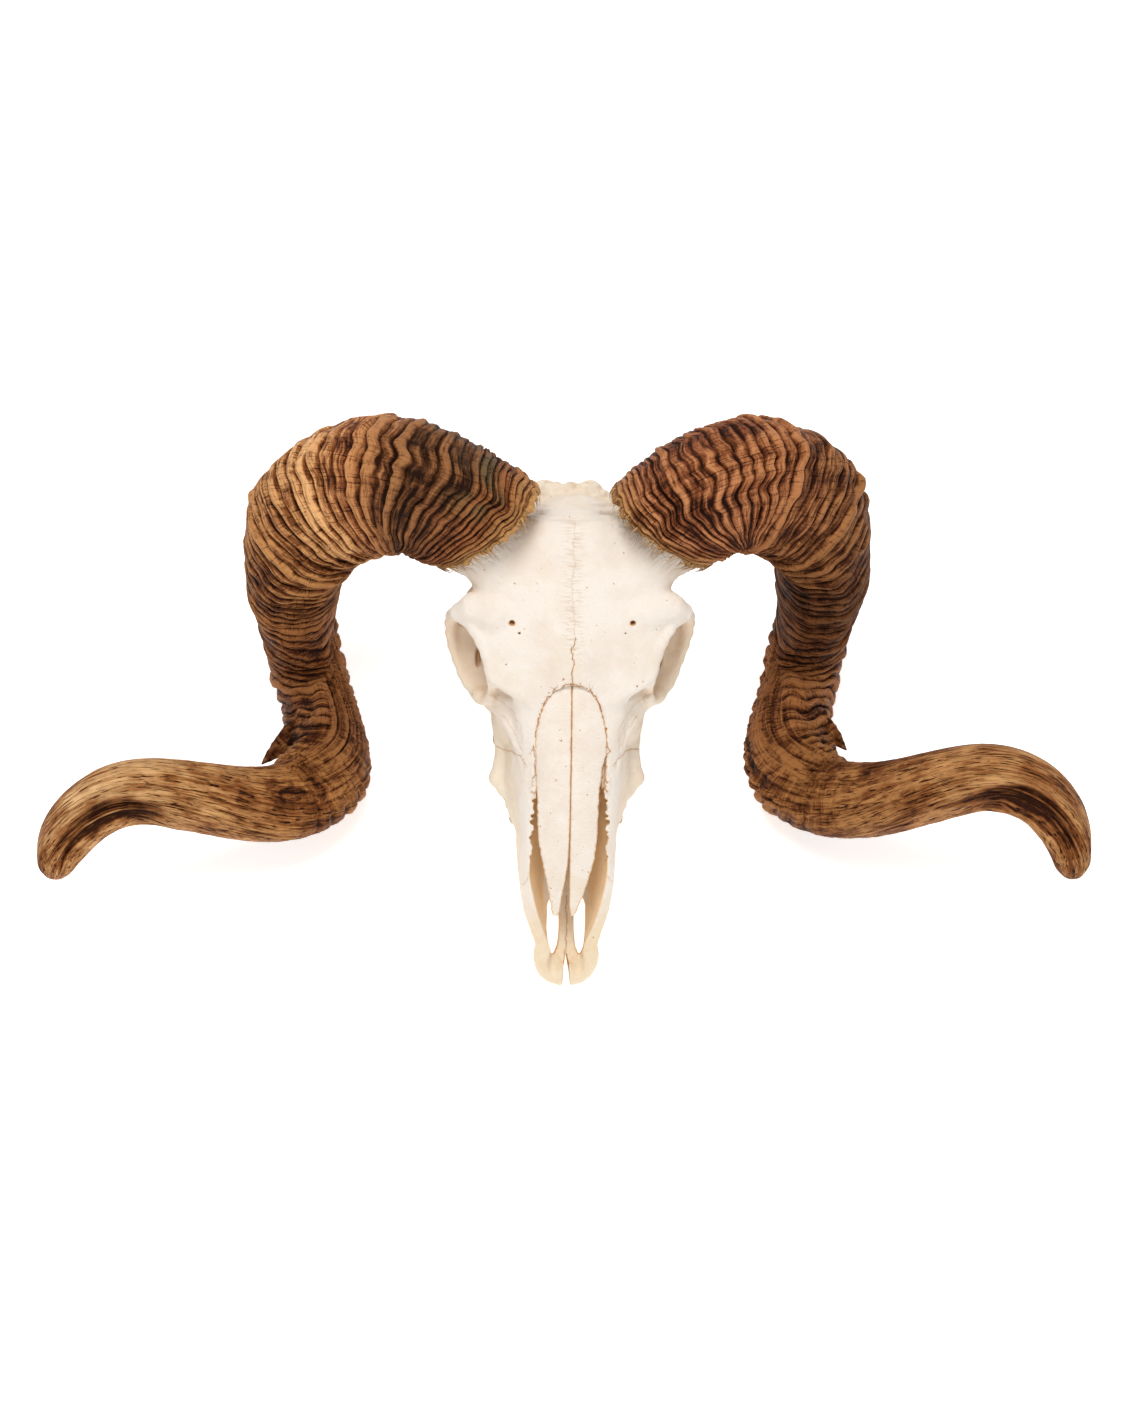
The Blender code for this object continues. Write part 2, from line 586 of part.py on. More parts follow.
class Horn:
    """Centre line, frame and section of one horn, along the share of its length."""

    def __init__(self, rows, side):
        fine = spline(rows, np.linspace(0, 1, 2001))
        normal = np.array([side * HORN_NORMAL[0], HORN_NORMAL[1], HORN_NORMAL[2]])
        normal = normal / np.linalg.norm(normal)
        start = int(np.argmax(fine[:, :3] @ normal > HORN_PLANE + GAP / 2))
        fine = fine[start:]
        run = np.concatenate([[0], np.cumsum(np.linalg.norm(np.diff(fine[:, :3], axis=0), axis=1))])
        self.length = run[-1]
        self.run, self.fine, self.normal = run, fine, normal

    def ring(self, at, swell):
        """Corners of the section at a length, and its centre."""
        place = np.array([np.interp(at, self.run, self.fine[:, k]) for k in range(5)])
        ahead = np.array([np.interp(at + 1.0, self.run, self.fine[:, k]) for k in range(3)])
        behind = np.array([np.interp(at - 1.0, self.run, self.fine[:, k]) for k in range(3)])
        tangent = (ahead - behind) / np.linalg.norm(ahead - behind)
        settle = min(1.0, at / 40.0)
        tangent = tangent * settle + self.normal * (1 - settle)
        tangent = tangent / np.linalg.norm(tangent)
        out = np.array([0.0, place[1] - COIL_AXIS[0], place[2] - COIL_AXIS[1]])
        out = out - tangent * (out @ tangent)
        out = out / np.linalg.norm(out)
        across = np.cross(tangent, out)
        corners = []
        for j in range(HORN_ROUND):
            t = 2 * math.pi * (j + 0.5) / HORN_ROUND
            c, s = math.cos(t), math.sin(t)
            high = (place[3] / 2 + swell) * math.copysign(abs(c) ** 0.85, c)
            wide = (place[4] / 2 + swell) * math.copysign(abs(s) ** 0.85, s) * (1 + 0.18 * c)
            corners.append(place[:3] + out * high + across * wide)
        return corners

    def stations(self):
        """Lengths at which rings sit, with their swelling: a furrow and a crest for each ridge."""
        rows = []
        end = self.length * RIDGES_TO
        step = end / RIDGES
        for i in range(RIDGES):
            depth = RIDGE_DEPTH * min(1.0, 3.4 * (1 - i / RIDGES))
            uneven = 0.16 * math.sin(2.4 * i) + 0.10 * math.sin(5.3 * i + 1)
            start = (i + uneven) * step
            rows.append((start + 0.12 * step, RIDGE_RISE - depth * (0.8 + uneven)))
            rows.append((start + 0.62 * step, RIDGE_RISE))
        count = int((self.length - end) / HORN_STEP)
        for i in range(count):
            rows.append((end + (self.length - end) * (i + 0.4) / count, 0.0))
        return rows


def horn_skin(name, horn, rows, pointed):
    """Closed skin over rings at rows of (length, swelling); a pointed one ends in a blunt tip."""
    rings = [horn.ring(at, swell) for at, swell in rows]
    points = [p for ring in rings for p in ring]
    count = HORN_ROUND
    faces = []
    for i in range(len(rings) - 1):
        for j in range(count):
            k = (j + 1) % count
            faces.append((i * count + j, i * count + k, (i + 1) * count + k, (i + 1) * count + j))
    faces.append(tuple(range(count)))
    last = (len(rings) - 1) * count
    if pointed:
        tip = np.mean(rings[-1], axis=0)
        forward = tip - np.mean(rings[-2], axis=0)
        points.append(tip + forward / np.linalg.norm(forward) * 3.0)
        faces += [(last + j, last + (j + 1) % count, last + count) for j in range(count)]
    else:
        faces.append(tuple(range(last, last + count)))
    return make_object(name, np.array(points), faces)


def make_horn(word, rows, side):
    """The three lengths of one horn, ended flat against each other."""
    horn = Horn(rows, side)
    stations = horn.stations()
    ends = [0.0] + [share * horn.length for share in HORN_CUTS] + [horn.length]
    parts = []
    for i, part in enumerate(("base", "curl", "tip")):
        low = ends[i] + (GAP / 2 if i else 0.0)
        high = ends[i + 1] - (GAP / 2 if i < 2 else 0.0)
        inner = [row for row in stations if low + 2 < row[0] < high - 2]
        first = (low, -1.0)
        last = (high, -1.0 if i < 2 else -3.0)
        parts.append(horn_skin(f"horn_{word}_{part}", horn, [first, *inner, last], i == 2))
    return parts


def clear_scene():
    for thing in list(bpy.data.objects):
        bpy.data.objects.remove(thing)


def main():
    clear_scene()
    rest = bpy.data.objects.new("rest", None)
    rest.rotation_euler = (math.radians(REST_PITCH), math.radians(REST_ROLL), 0.0)
    rest.location = [a * MM for a in REST_SHIFT]
    bpy.context.scene.collection.objects.link(rest)
    bones = make_bone() + list(make_nasals())
    horns = make_horn("left", HORN_LEFT, -1) + make_horn("right", HORN_RIGHT, 1)
    for thing in bones + horns:
        is_horn = thing.name.startswith("horn")
        color, roughness = (HORN_COLOR, 0.45) if is_horn else (BONE_COLOR, 0.6)
        thing.data.materials.append(make_material(thing.name, color, roughness))
        for polygon in thing.data.polygons:
            polygon.use_smooth = True
        thing.parent = rest


main()
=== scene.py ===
import math

import bmesh
import bpy
import numpy as np
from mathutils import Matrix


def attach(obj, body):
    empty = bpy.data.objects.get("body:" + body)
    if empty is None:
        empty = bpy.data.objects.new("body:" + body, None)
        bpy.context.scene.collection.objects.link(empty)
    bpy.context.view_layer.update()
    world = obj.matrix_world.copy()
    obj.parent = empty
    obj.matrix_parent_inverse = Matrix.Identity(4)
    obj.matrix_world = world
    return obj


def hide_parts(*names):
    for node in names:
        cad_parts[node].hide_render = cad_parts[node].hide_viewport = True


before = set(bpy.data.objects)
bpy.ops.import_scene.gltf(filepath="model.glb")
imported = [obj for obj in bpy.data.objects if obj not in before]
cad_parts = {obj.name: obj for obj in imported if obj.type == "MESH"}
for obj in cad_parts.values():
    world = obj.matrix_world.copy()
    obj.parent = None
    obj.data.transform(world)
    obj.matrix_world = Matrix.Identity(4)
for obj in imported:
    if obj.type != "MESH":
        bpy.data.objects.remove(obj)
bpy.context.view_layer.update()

import openvdb
from mathutils import Euler

# The skull is worked out in millimetres in a frame of its own: x to the side, u along the face
# towards the nape, d up out of the forehead. rest tilts that frame as the part lies on the floor.
rest = {"pitch": 33.61, "roll": 0.36, "shift": (6.04, 0.93, 151.3), "clear": 0.05}
midline = {"at": -0.9, "lean": 0.0095, "roll": 0.04}
fineness = 1.0       # coarser grids while trying things out

turn = np.array(Euler((math.radians(rest["pitch"]), math.radians(rest["roll"]), 0.0)).to_matrix())


def toWorld(points):
    # turn by the rest pose, shift, and millimetres to metres
    return (points @ turn.T + np.array(rest["shift"])) * 0.001


def onFloor(points):
    # what would be under the floor is raised to it
    under = np.maximum(rest["clear"] - toWorld(points)[:, 2] * 1000, 0)
    return points + under[:, None] * turn[2]


def leaned(points):
    # x grows with u and d, because the picture's midline leans a little
    out = np.array(points, float)
    out[:, 0] += midline["at"] + midline["lean"] * out[:, 1] + midline["roll"] * out[:, 2]
    return out


def curve(rows, at):
    # piecewise cubic with slopes from the harmonic mean, so it never overshoots; level beyond its ends
    place, value = np.array(sorted(rows), float).T
    width = np.diff(place)
    rise = np.diff(value) / width
    slope = np.zeros(len(place))
    same = rise[1:] * rise[:-1] > 0
    slope[1:-1][same] = 2 * rise[1:][same] * rise[:-1][same] / (rise[1:] + rise[:-1])[same]
    slope[0], slope[-1] = rise[0], rise[-1]
    q = np.clip(at, place[0], place[-1])
    i = np.clip(np.searchsorted(place, q, side="right") - 1, 0, len(width) - 1)
    t = (q - place[i]) / width[i]
    start = value[i] * (1 + 2 * t) * (1 - t) ** 2 + slope[i] * width[i] * t * (1 - t) ** 2
    return start + value[i + 1] * t * t * (3 - 2 * t) + slope[i + 1] * width[i] * t * t * (t - 1)


def smooth(low, high, at):
    # 0 below low, 1 above high, 3t^2-2t^3 between
    t = np.clip((at - low) / (high - low), 0, 1)
    return t * t * (3 - 2 * t)


def stacked(*parts):
    # arrays and numbers side by side along a new last axis
    return np.stack(np.broadcast_arrays(*parts), -1)


def unit(v):
    # each vector over its own length
    return v / np.maximum(np.linalg.norm(v, axis=-1, keepdims=True), 1e-9)


def window(low, full, fullTo, to, at):
    # 0 before low and past to, 1 from full to fullTo
    return smooth(low, full, at) * (1 - smooth(fullTo, to, at))


def corners(t):
    # the eight corners of a unit cell, and how much each counts at the place t within it
    for i, j, k in np.ndindex(2, 2, 2):
        yield (i, j, k), np.abs(1 - i - t[..., 0]) * np.abs(1 - j - t[..., 1]) * np.abs(1 - k - t[..., 2])


def scatter(place, seed):
    # one value from -1 to 1 for each whole-number corner, mixed from its three numbers by large odd factors
    a, b, c = (place[..., k].astype(np.int64) for k in range(3))
    mixed = (a * 374761393 + b * 668265263 + c * 2147483647 + seed * 1274126177) & 0xFFFFFFFF
    mixed = ((mixed ^ (mixed >> 13)) * 1103515245) & 0xFFFFFFFF
    mixed = ((mixed ^ (mixed >> 16)) * 69069 + 5) & 0xFFFFFFFF
    return ((mixed >> 8) & 0xFFFF) / 32767.5 - 1


def rough(place, seed=1):
    # values at the corners of a grid of unit cells, blended by 3t^2-2t^3 along each side
    place = np.asarray(place, float)
    cell = np.floor(place)
    return sum(share * scatter(cell + corner, seed) for corner, share in corners(smooth(0, 1, place - cell)))


def ridged(place, seed):
    # 1 on thin lines where the rough values change sign, falling to 0 and below between them
    return 1 - 2.6 * np.abs(rough(place, seed))


def addMesh(name, points, faceSets, normals=None, values=None):
    # points in millimetres of the skull's frame; each face set is an array of faces of one length
    mesh = bpy.data.meshes.new(name)
    mesh.vertices.add(len(points))
    mesh.vertices.foreach_set("co", toWorld(points).astype(np.float32).ravel())
    loops = np.concatenate([faces.ravel() for faces in faceSets]).astype(np.int32)
    counts = np.concatenate([np.full(len(faces), faces.shape[1]) for faces in faceSets])
    mesh.loops.add(len(loops))
    mesh.loops.foreach_set("vertex_index", loops)
    mesh.polygons.add(len(counts))
    starts = np.concatenate([[0], np.cumsum(counts)[:-1]]).astype(np.int32)
    mesh.polygons.foreach_set("loop_start", starts)
    mesh.update(calc_edges=True)
    mesh.polygons.foreach_set("use_smooth", np.ones(len(counts), bool))
    for key, value in (values or {}).items():
        isVector = value.ndim == 2
        attribute = mesh.attributes.new(key, "FLOAT_VECTOR" if isVector else "FLOAT", "POINT")
        attribute.data.foreach_set("vector" if isVector else "value", value.astype(np.float32).ravel())
    if normals is not None:
        mesh.normals_split_custom_set_from_vertices((normals @ turn.T).tolist())
    thing = bpy.data.objects.new(name, mesh)
    bpy.context.scene.collection.objects.link(thing)
    return thing


def faceNormals(points, faces):
    # cross product of a face's two diagonals
    a = points[faces[:, 2]] - points[faces[:, 0]]
    b = points[faces[:, 3 % faces.shape[1]]] - points[faces[:, 1]]
    return np.cross(a, b)


def pointNormals(points, faces):
    # sum of the normals of the faces round each point, made one long
    across = faceNormals(points, faces)
    total = np.zeros((len(points), 3))
    for corner in range(faces.shape[1]):
        for k in range(3):
            total[:, k] += np.bincount(faces[:, corner], across[:, k], len(points))
    return total / np.maximum(np.linalg.norm(total, axis=1, keepdims=True), 1e-12)


def tube(points, rings, around):
    # faces between neighbouring rings, and a fan from the middle of the first and of the last
    i, j = np.meshgrid(np.arange(rings - 1), np.arange(around), indexing="ij")
    k = (j + 1) % around
    faces = stacked(i * around + j, i * around + k, (i + 1) * around + k, (i + 1) * around + j)
    first, last = len(points), len(points) + 1
    points = np.vstack([points, points[:around].mean(0), points[-around:].mean(0)])
    j, k, base = j[0], k[0], (rings - 1) * around
    caps = np.concatenate([stacked(k, j, first), stacked(base + j, base + k, last)])
    return faces.reshape(-1, 4), caps, points


def turnedOut(points, faces, caps, center=None):
    # both sets of faces, turned over where their normals sum up inwards from the middle
    center = points.mean(0) if center is None else center
    if np.einsum("ij,ij->", faceNormals(points, faces), points[faces[:, 0]] - center) < 0:
        return faces[:, ::-1], caps[:, ::-1]
    return faces, caps


def finishPiece(thing, material, slot, *nodes):
    thing.data.materials.append(material)
    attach(thing, "root")
    if nodes:
        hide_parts(*nodes)
    return thing


bone = {
    "voxel": 0.8 * fineness,
    "muzzleTop": [(-196, -47), (-182, -41), (-165, -34), (-150, -27), (-130, -17), (-100, -9), (-60, -4),
                  (-25, -3), (0, 0)],
    "muzzleLow": [(-196, -55), (-175, -56), (-150, -58), (-120, -63), (-100, -70), (-60, -82), (-30, -88),
                  (-10, -84), (10, -74)],
    "muzzleTopHalf": [(-196, 5), (-194, 9), (-191, 12), (-187, 15), (-182, 17), (-177, 17.8), (-171, 17),
                      (-165, 18.5), (-150, 22.8), (-130, 24.5), (-105, 24), (-80, 22.5), (-60, 23), (-45, 27),
                      (-30, 31), (-15, 36), (0, 40)],
    "muzzleLowHalf": [(-196, 6), (-194, 10), (-191, 13), (-187, 16), (-182, 18), (-177, 18.8), (-171, 18),
                      (-165, 19.5), (-150, 24.5), (-132, 27.5), (-117, 28.5), (-109, 29), (-98, 33), (-87, 37),
                      (-75, 40), (-60, 40), (-30, 38), (-10, 24), (10, 16)],
    "roofLevel": [(-40, -5), (-25, -3), (0, 0), (35, 2), (58, 0), (70, -5), (76, -12)],
    "roofHalf": [(-40, 27), (-33, 32), (-28, 39), (-23, 47), (-18, 49), (-4, 49), (5, 52), (20, 52), (35, 49),
                 (60, 42), (76, 34)],
    "mouthHalf": [(-196, 1), (-182, 4), (-175, 10.6), (-167, 14.6), (-159, 17.8), (-146, 20.8), (-134, 21.4),
                  (-106, 20.8), (-90, 20.2), (-85, 19), (-81, 17.4)],
    "mouthFloor": [(-196, -46), (-176, -48), (-150, -51), (-120, -56), (-90, -58)],
    "mouthLid": [(-83, 20), (-79, -14), (-60, -15)],
    "slotHalf": [(-177, 0.4), (-170, 2.6), (-160, 3.3), (-150, 3.2), (-142, 0.4)],
    "notchHalf": [(-196, 2.3), (-187, 1.8), (-181, 1.0), (-176, 0.0), (-172, -1.0)],
    "roofThick": 13,
    "spikes": (-127, -84, 1.3),     # along the nose opening's edge: from, to, reach
    "cheekCut": (-58.0, 0.45),      # u + 0.45 d of the plane between cranium and jaw
    "snoutCut": -136.0,
    "crownCut": 31.0,
}
orbit = {"center": np.array([55.0, -9.0, -33.0]), "along": np.array([8.5, 24.5, 4.0]),
         "across": np.array([-8.0, 1.0, 21.0])}
orbit["cup"] = (27.5, 23.5, 34)     # half widths of its mouth, depth
orbit["eye"] = (34, 22.5, 19.5)     # half sizes of the room for the eye
orbit["out"] = np.cross(orbit["along"], orbit["across"])
orbit["out"] = orbit["out"] / np.linalg.norm(orbit["out"])


def blendMin(a, b, width):
    # the smaller distance, rounded by a parabola where both are closer than width
    h = np.clip(0.5 + 0.5 * (b - a) / width, 0, 1)
    return b + (a - b) * h - width * h * (1 - h)


def blendMax(a, b, width):
    return -blendMin(-a, -b, width)


def ball(center, radii):
    # distance to an ellipsoid, from its scaled radius over the gradient of that radius
    center, radii = np.array(center, float), np.array(radii, float)

    def distance(x, u, d):
        a, b, c = ((q - m) / r for q, m, r in zip((x, u, d), center, radii))
        q = np.sqrt(a * a + b * b + c * c)
        g = np.sqrt((a / radii[0]) ** 2 + (b / radii[1]) ** 2 + (c / radii[2]) ** 2)
        return q * (q - 1) / np.maximum(g, 1e-6)

    return distance, center - radii, center + radii


def rod(*points):
    # distance to a chain of round rods that taper from point to point (x, u, d, radius)
    points = np.array(points, float)

    def distance(x, u, d):
        out = None
        for a, b in zip(points[:-1], points[1:]):
            v = b[:3] - a[:3]
            q = (x - a[0], u - a[1], d - a[2])
            t = np.clip((q[0] * v[0] + q[1] * v[1] + q[2] * v[2]) / (v @ v), 0, 1)
            away = np.sqrt((q[0] - v[0] * t) ** 2 + (q[1] - v[1] * t) ** 2 + (q[2] - v[2] * t) ** 2)
            side = away - a[3] - (b[3] - a[3]) * t
            out = side if out is None else blendMin(out, side, 2.0)
        return out

    return distance, (points[:, :3] - points[:, 3:]).min(0), (points[:, :3] + points[:, 3:]).max(0)


def boxed(distance, lowU, highU):
    return distance, np.array([0.0, lowU, -130.0]), np.array([90.0, highU, 30.0])


class Field:
    # distances to the bone's surface, under zero inside, on a grid over the right half
    def __init__(self, low, high, step):
        self.step, self.low = step, np.array(low, float)
        self.axes = [np.arange(a, b, step, dtype=np.float32) for a, b in zip(low, high)]
        self.value = np.full([len(a) for a in self.axes], 30.0, np.float32)

    def window(self, low, high, margin):
        cuts = []
        for axis, a, b in zip(self.axes, low, high):
            i = int(np.searchsorted(axis, a - margin))
            j = int(np.searchsorted(axis, b + margin))
            cuts.append(slice(i, max(j, i + 1)))
        x, u, d = (axis[cut] for axis, cut in zip(self.axes, cuts))
        return tuple(cuts), (x[:, None, None], u[None, :, None], d[None, None, :])


    def join(self, shape, blend, sign=1):
        # the shape is added, or with sign -1 cut away
        distance, low, high = shape
        cuts, place = self.window(low, high, blend + 6)
        self.value[cuts] = sign * blendMin(sign * self.value[cuts], distance(*place), blend)

    def cut(self, shape, blend):
        self.join(shape, blend, -1)

    def at(self, points):
        # blend of the eight grid values round each point, the left half read from the right
        q = np.abs(points[:, :1])
        q = (np.hstack([q, points[:, 1:]]) - self.low) / self.step
        q = np.clip(q, 0, np.array(self.value.shape) - 1.001)
        cell = q.astype(int)
        return sum(share * self.value[tuple((cell + corner).T)] for corner, share in corners(q - cell))

    def drop(self, plan, view):
        # first bone met by a ray: from the front or below through (x, u), from the side through (u, d)
        # and from behind through (x, d)
        plan = np.asarray(plan, float)
        held = {"front": (0, 1), "below": (0, 1), "side": (1, 2), "back": (0, 2)}[view]
        free = ({0, 1, 2} - set(held)).pop()
        index = [np.clip(((np.abs(plan[:, n]) if axis == 0 else plan[:, n]) - self.low[axis]) / self.step,
                         0, self.value.shape[axis] - 1).astype(int) for n, axis in enumerate(held)]
        lines = np.moveaxis(self.value, free, -1)[index[0], index[1]] < 0
        count = lines.shape[1]
        first = np.argmax(lines, axis=1) if view == "below" else count - 1 - np.argmax(lines[:, ::-1], axis=1)
        out = np.zeros((len(plan), 3))
        out[:, held[0]], out[:, held[1]] = plan[:, 0], plan[:, 1]
        out[:, free] = first * self.step + self.low[free]
        return out

    def surface(self):
        # four-sided faces round the zero level, the left half mirrored from the right
        whole = np.concatenate([self.value[:0:-1], self.value]).astype(np.float32)
        grid = openvdb.FloatGrid(30.0)
        grid.copyFromArray(whole)
        points, faces = grid.convertToQuads()
        low = self.low - np.array([(len(self.axes[0]) - 1) * self.step, 0, 0])
        points, faces = points * self.step + low, np.asarray(faces, int)
        volume = np.einsum("ij,ij->", faceNormals(points, faces), points[faces[:, 0]])
        return points, faces if volume > 0 else faces[:, ::-1]


def within(out, *limits):
    # what lies inside every limit: each is a distance and the width over which its edge is rounded
    for limit, width in limits:
        out = blendMax(out, limit, width)
    return out


def muzzle():
    # a side that slants from the half width of the top to that of the low level, under a rounded top
    def distance(x, u, d):
        top, low = curve(bone["muzzleTop"], u), curve(bone["muzzleLow"], u)
        narrow, wide = curve(bone["muzzleTopHalf"], u), curve(bone["muzzleLowHalf"], u)
        down = np.clip((top - d) / (top - low), 0, 1)
        side = x - narrow - (wide - narrow) * down ** 0.8
        side = side / np.sqrt(1 + ((wide - narrow) / (top - low)) ** 2)
        return within(side, (d - top + x * x / 76.0, 6), (low - d, 5), (-195.2 - u, 8), (u - 2, 8))
    return boxed(distance, -196, 4)


def roof():
    # plate under the forehead's level, rounded across
    def distance(x, u, d):
        top = curve(bone["roofLevel"], u)
        return within(d - top + x * x / 300.0, (top - bone["roofThick"] - d, 6),
                      (x - curve(bone["roofHalf"], u), 6), (u - 70, 8), (-38 - u, 10))
    return boxed(distance, -40, 72)


def orbitCup():
    # cone behind the lower and front part of the eye's rim
    along, across = unit(orbit["along"]), unit(orbit["across"])
    long, wide, deep = orbit["cup"]

    def distance(x, u, d):
        q = (x - orbit["center"][0], u - orbit["center"][1], d - orbit["center"][2])
        a, b, c = (q[0] * e[0] + q[1] * e[1] + q[2] * e[2] for e in (along, across, orbit["out"]))
        cone = (np.sqrt((a / long) ** 2 + (b / wide) ** 2) - 1 - c * 0.01) * 22
        return within(cone, (c - 1.0, 3), (-deep - c, 3), (a - 15 + b * 0.3, 6))
    return distance, orbit["center"] - 42, orbit["center"] + 42


def orbitRim():
    # ring of rods round the eye, thickest behind
    turns = np.linspace(0, 2 * math.pi, 21)
    return rod(*[(*(orbit["center"] + orbit["along"] * math.cos(t) + orbit["across"] * math.sin(t)),
                  2.4 + 1.6 * max(0.0, math.cos(t)) + 0.3 * math.sin(t)) for t in turns])


def noseMouth():
    # opening with its full half width at the top and less at its floor, jagged along part of its edge
    def distance(x, u, d):
        floor = curve(bone["mouthFloor"], u)
        up = np.clip((d - floor) / 30, 0, 1)
        begun, ended, reach = bone["spikes"]
        jagged = rough(stacked(u / 1.25, 0, 0), 30) * smooth(begun, begun + 6, u)
        half = curve(bone["mouthHalf"], u) + reach * jagged * smooth(ended, ended - 4, u) * smooth(-26, -18, d)
        return within(x - half * (0.62 + 0.38 * up), (floor - d, 4), (-181 - u, 3), (u + 64, 3),
                      (d - curve(bone["mouthLid"], u), 2))
    return boxed(distance, -182, -62)


def palateSlot():
    def distance(x, u, d):
        return within(np.abs(x - 7.6) - curve(bone["slotHalf"], u), (np.abs(d + 54) - 14, 2),
                      (-177 - u, 2), (u + 142, 2))
    return boxed(distance, -178, -140)


def tipNotch():
    def distance(x, u, d):
        return np.maximum(x - curve(bone["notchHalf"], u), u + 174)
    return boxed(distance, -200, -173)


nasal = {
    "level": [(-154, -25.5), (-130, -15), (-100, -7), (-60, -2.5), (-40, -1.2), (-25, -1.6)],
    "outer": [(-118, 16.2), (-104, 18.0), (-88, 18.4), (-60, 19.2), (-50, 18.6), (-44, 17.2), (-36, 14.7),
              (-31, 11.5), (-28, 9), (-26, 4.5), (-25.2, 1.4)],
    # inner and outer edge of each bone along the last part, where they differ
    "left": {"inner": [(-154, 6.4), (-151, 4.9), (-143, 3.8), (-133, 2.1), (-118, 0.45), (-100, 0.12),
                       (-25, 0.06)],
             "outer": [(-154, 7.4), (-152, 8.8), (-143, 10.6), (-133, 12.7), (-118, 15.9), (-104, 17.8),
                       (-90, 18.2)]},
    "right": {"inner": [(-154, 1.6), (-147, 0.5), (-133, 0.3), (-118, 0.1), (-25, 0.06)],
              "outer": [(-154, 2.4), (-151.6, 4.2), (-147, 6.2), (-133, 10.8), (-118, 14.4), (-104, 15.6),
                        (-90, 15.8), (-76, 16.6), (-64, 18.2)]},
    "thick": 3.0,
    "gap": 0.05, "from": -153.4, "long": 128.0, "rings": 420, "across": 46,
    "vault": [(-154, 26), (-78, 26), (-46, 36), (-25, 40)],
}


def nasalLevel(x, u):
    # height of the bone's top: it falls to the sides by the square of the way out
    return curve(nasal["level"], u) - x * x / (2 * curve(nasal["vault"], u))


def nasalBed():
    # room under and beside both nasal bones
    def distance(x, u, d):
        thick = nasal["thick"] * np.clip(0.45 + 0.03 * (u + 154), 0.2, 1.0)
        out = np.maximum(x - curve(nasal["outer"], u) - nasal["gap"], nasalLevel(x, u) - thick - 0.4 - d)
        return np.maximum(out, u + 25.3)
    return boxed(distance, -156, -25.2)


def boneField():
    # shapes that are added and cut away in turn, each with the width over which it blends in
    f = Field((0, -205, -132), (96, 102, 32), bone["voxel"])
    napeCrest = [(0, 86, -46, 3.6), (12, 85.5, -48, 3.6), (23, 80, -54, 3.6), (32, 73, -64, 3.4),
                 (37, 64, -80, 3.2)]
    for shape, blend in [
        (muzzle(), 1),
        (roof(), 6),
        (ball((0, -8, -40), (22, 48, 44)), 8),
        (ball((0, 38, -44), (38, 44, 42)), 8),                                  # braincase
        (ball((0, 68, -64), (35, 17, 28)), 8),
        (rod((0, -12, -70, 12), (0, 30, -80, 13), (0, 76, -90, 12)), 7),
        (rod(*napeCrest), 5),
        (ball((13, 82, -95), (9.5, 12, 11)), 4),                                # condyle
        (rod((27, 70, -86, 6), (27, 70, -100, 4.5), (26, 67, -119, 3)), 5),
        (ball((20, 46, -93), (8, 12, 11)), 4),                                  # ear capsule
        (rod((24, 52, -88, 6), (38, 55, -80, 5)), 4),
        (rod((15, -22, -84, 3), (14, 0, -86, 2.6), (14, 14, -82, 2.6)), 4),
        (rod((36, 34, -24, 18), (47, 52, -18, 21.5), (66, 67, -9, 24)), 9),     # horn's stump
    ]:
        f.join(shape, blend)
    addOrbit(f)
    addCheek(f)
    for shape, blend in [
        (ball((0, -70, -99), (19, 48, 20)), 5),                                 # palate
        (rod((0, -22, -78, 10), (0, 6, -84, 8), (0, 20, -88, 4)), 4),
        (ball((0, 90, -80), (10, 22, 9)), 3),                                   # spine's opening
        (noseMouth(), 1.5),
        (palateSlot(), 1.5),
        (tipNotch(), 1),
        (ball((7.0, -184, -39), (4.4, 9, 8)), 2.5),                             # hollows of the tip
        (ball((14.5, -190, -40), (2.4, 5, 6)), 2),
        # nerve and vessel holes, each a short rod from outside into the bone
        (rod((34, 7.0, 2, 1.9), (33, 10.5, -7, 1.3)), 1.2),                     # above the eye
        (rod((33.4, 6, -1.0, 1.4), (31.0, -9, -2.2, 0.4)), 2),                  # its groove
        (rod((29.5, 3.2, 1, 0.7), (29, 4, -7, 0.6)), 0.6),
        (rod((32, -68, -48, 1.3), (24, -66, -50, 1.1)), 0.8),                   # on the jaw
        (rod((27.5, -37.5, -20, 0.9), (24, -36, -34, 0.8)), 0.8),
        (rod((9.5, -54, -84, 1.6), (9, -56, -72, 1.2)), 0.8),                   # in the palate
        (rod((9, 66, -97, 2.0), (15, 60, -84, 1.5)), 0.8),                      # beside the condyle
        (rod((13, 24, -95, 1.9), (13, 26, -80, 1.5)), 0.8),
        (rod((43, 56.5, -79, 2.2), (30, 53, -84, 1.6)), 0.8),                   # ear
        (rod((33, -8, -52, 3.0), (24, 4, -56, 2.0)), 1.0),                      # behind the eye
        (nasalBed(), 0.3),
    ]:
        f.cut(shape, blend)
    return f


def addOrbit(f):
    f.join(rod((31, -50, -52, 8), (34.5, -39, -54, 6), (45, -26, -54, 6)), 4)
    f.join(orbitCup(), 5)
    f.cut(ball((56, 34, -48), (18, 16, 26)), 5)                                          # temple
    f.cut(ball((63, 32, -30), (9, 7.5, 20)), 3)
    f.cut(ball(orbit["center"] + orbit["out"] * 1.5, orbit["eye"]), 4)
    f.join(orbitRim(), 3)
    f.join(rod((42, 15, -9, 9), (55, 18.5, -12, 7.5), (62.5, 16, -18, 5.0)), 5)          # brow


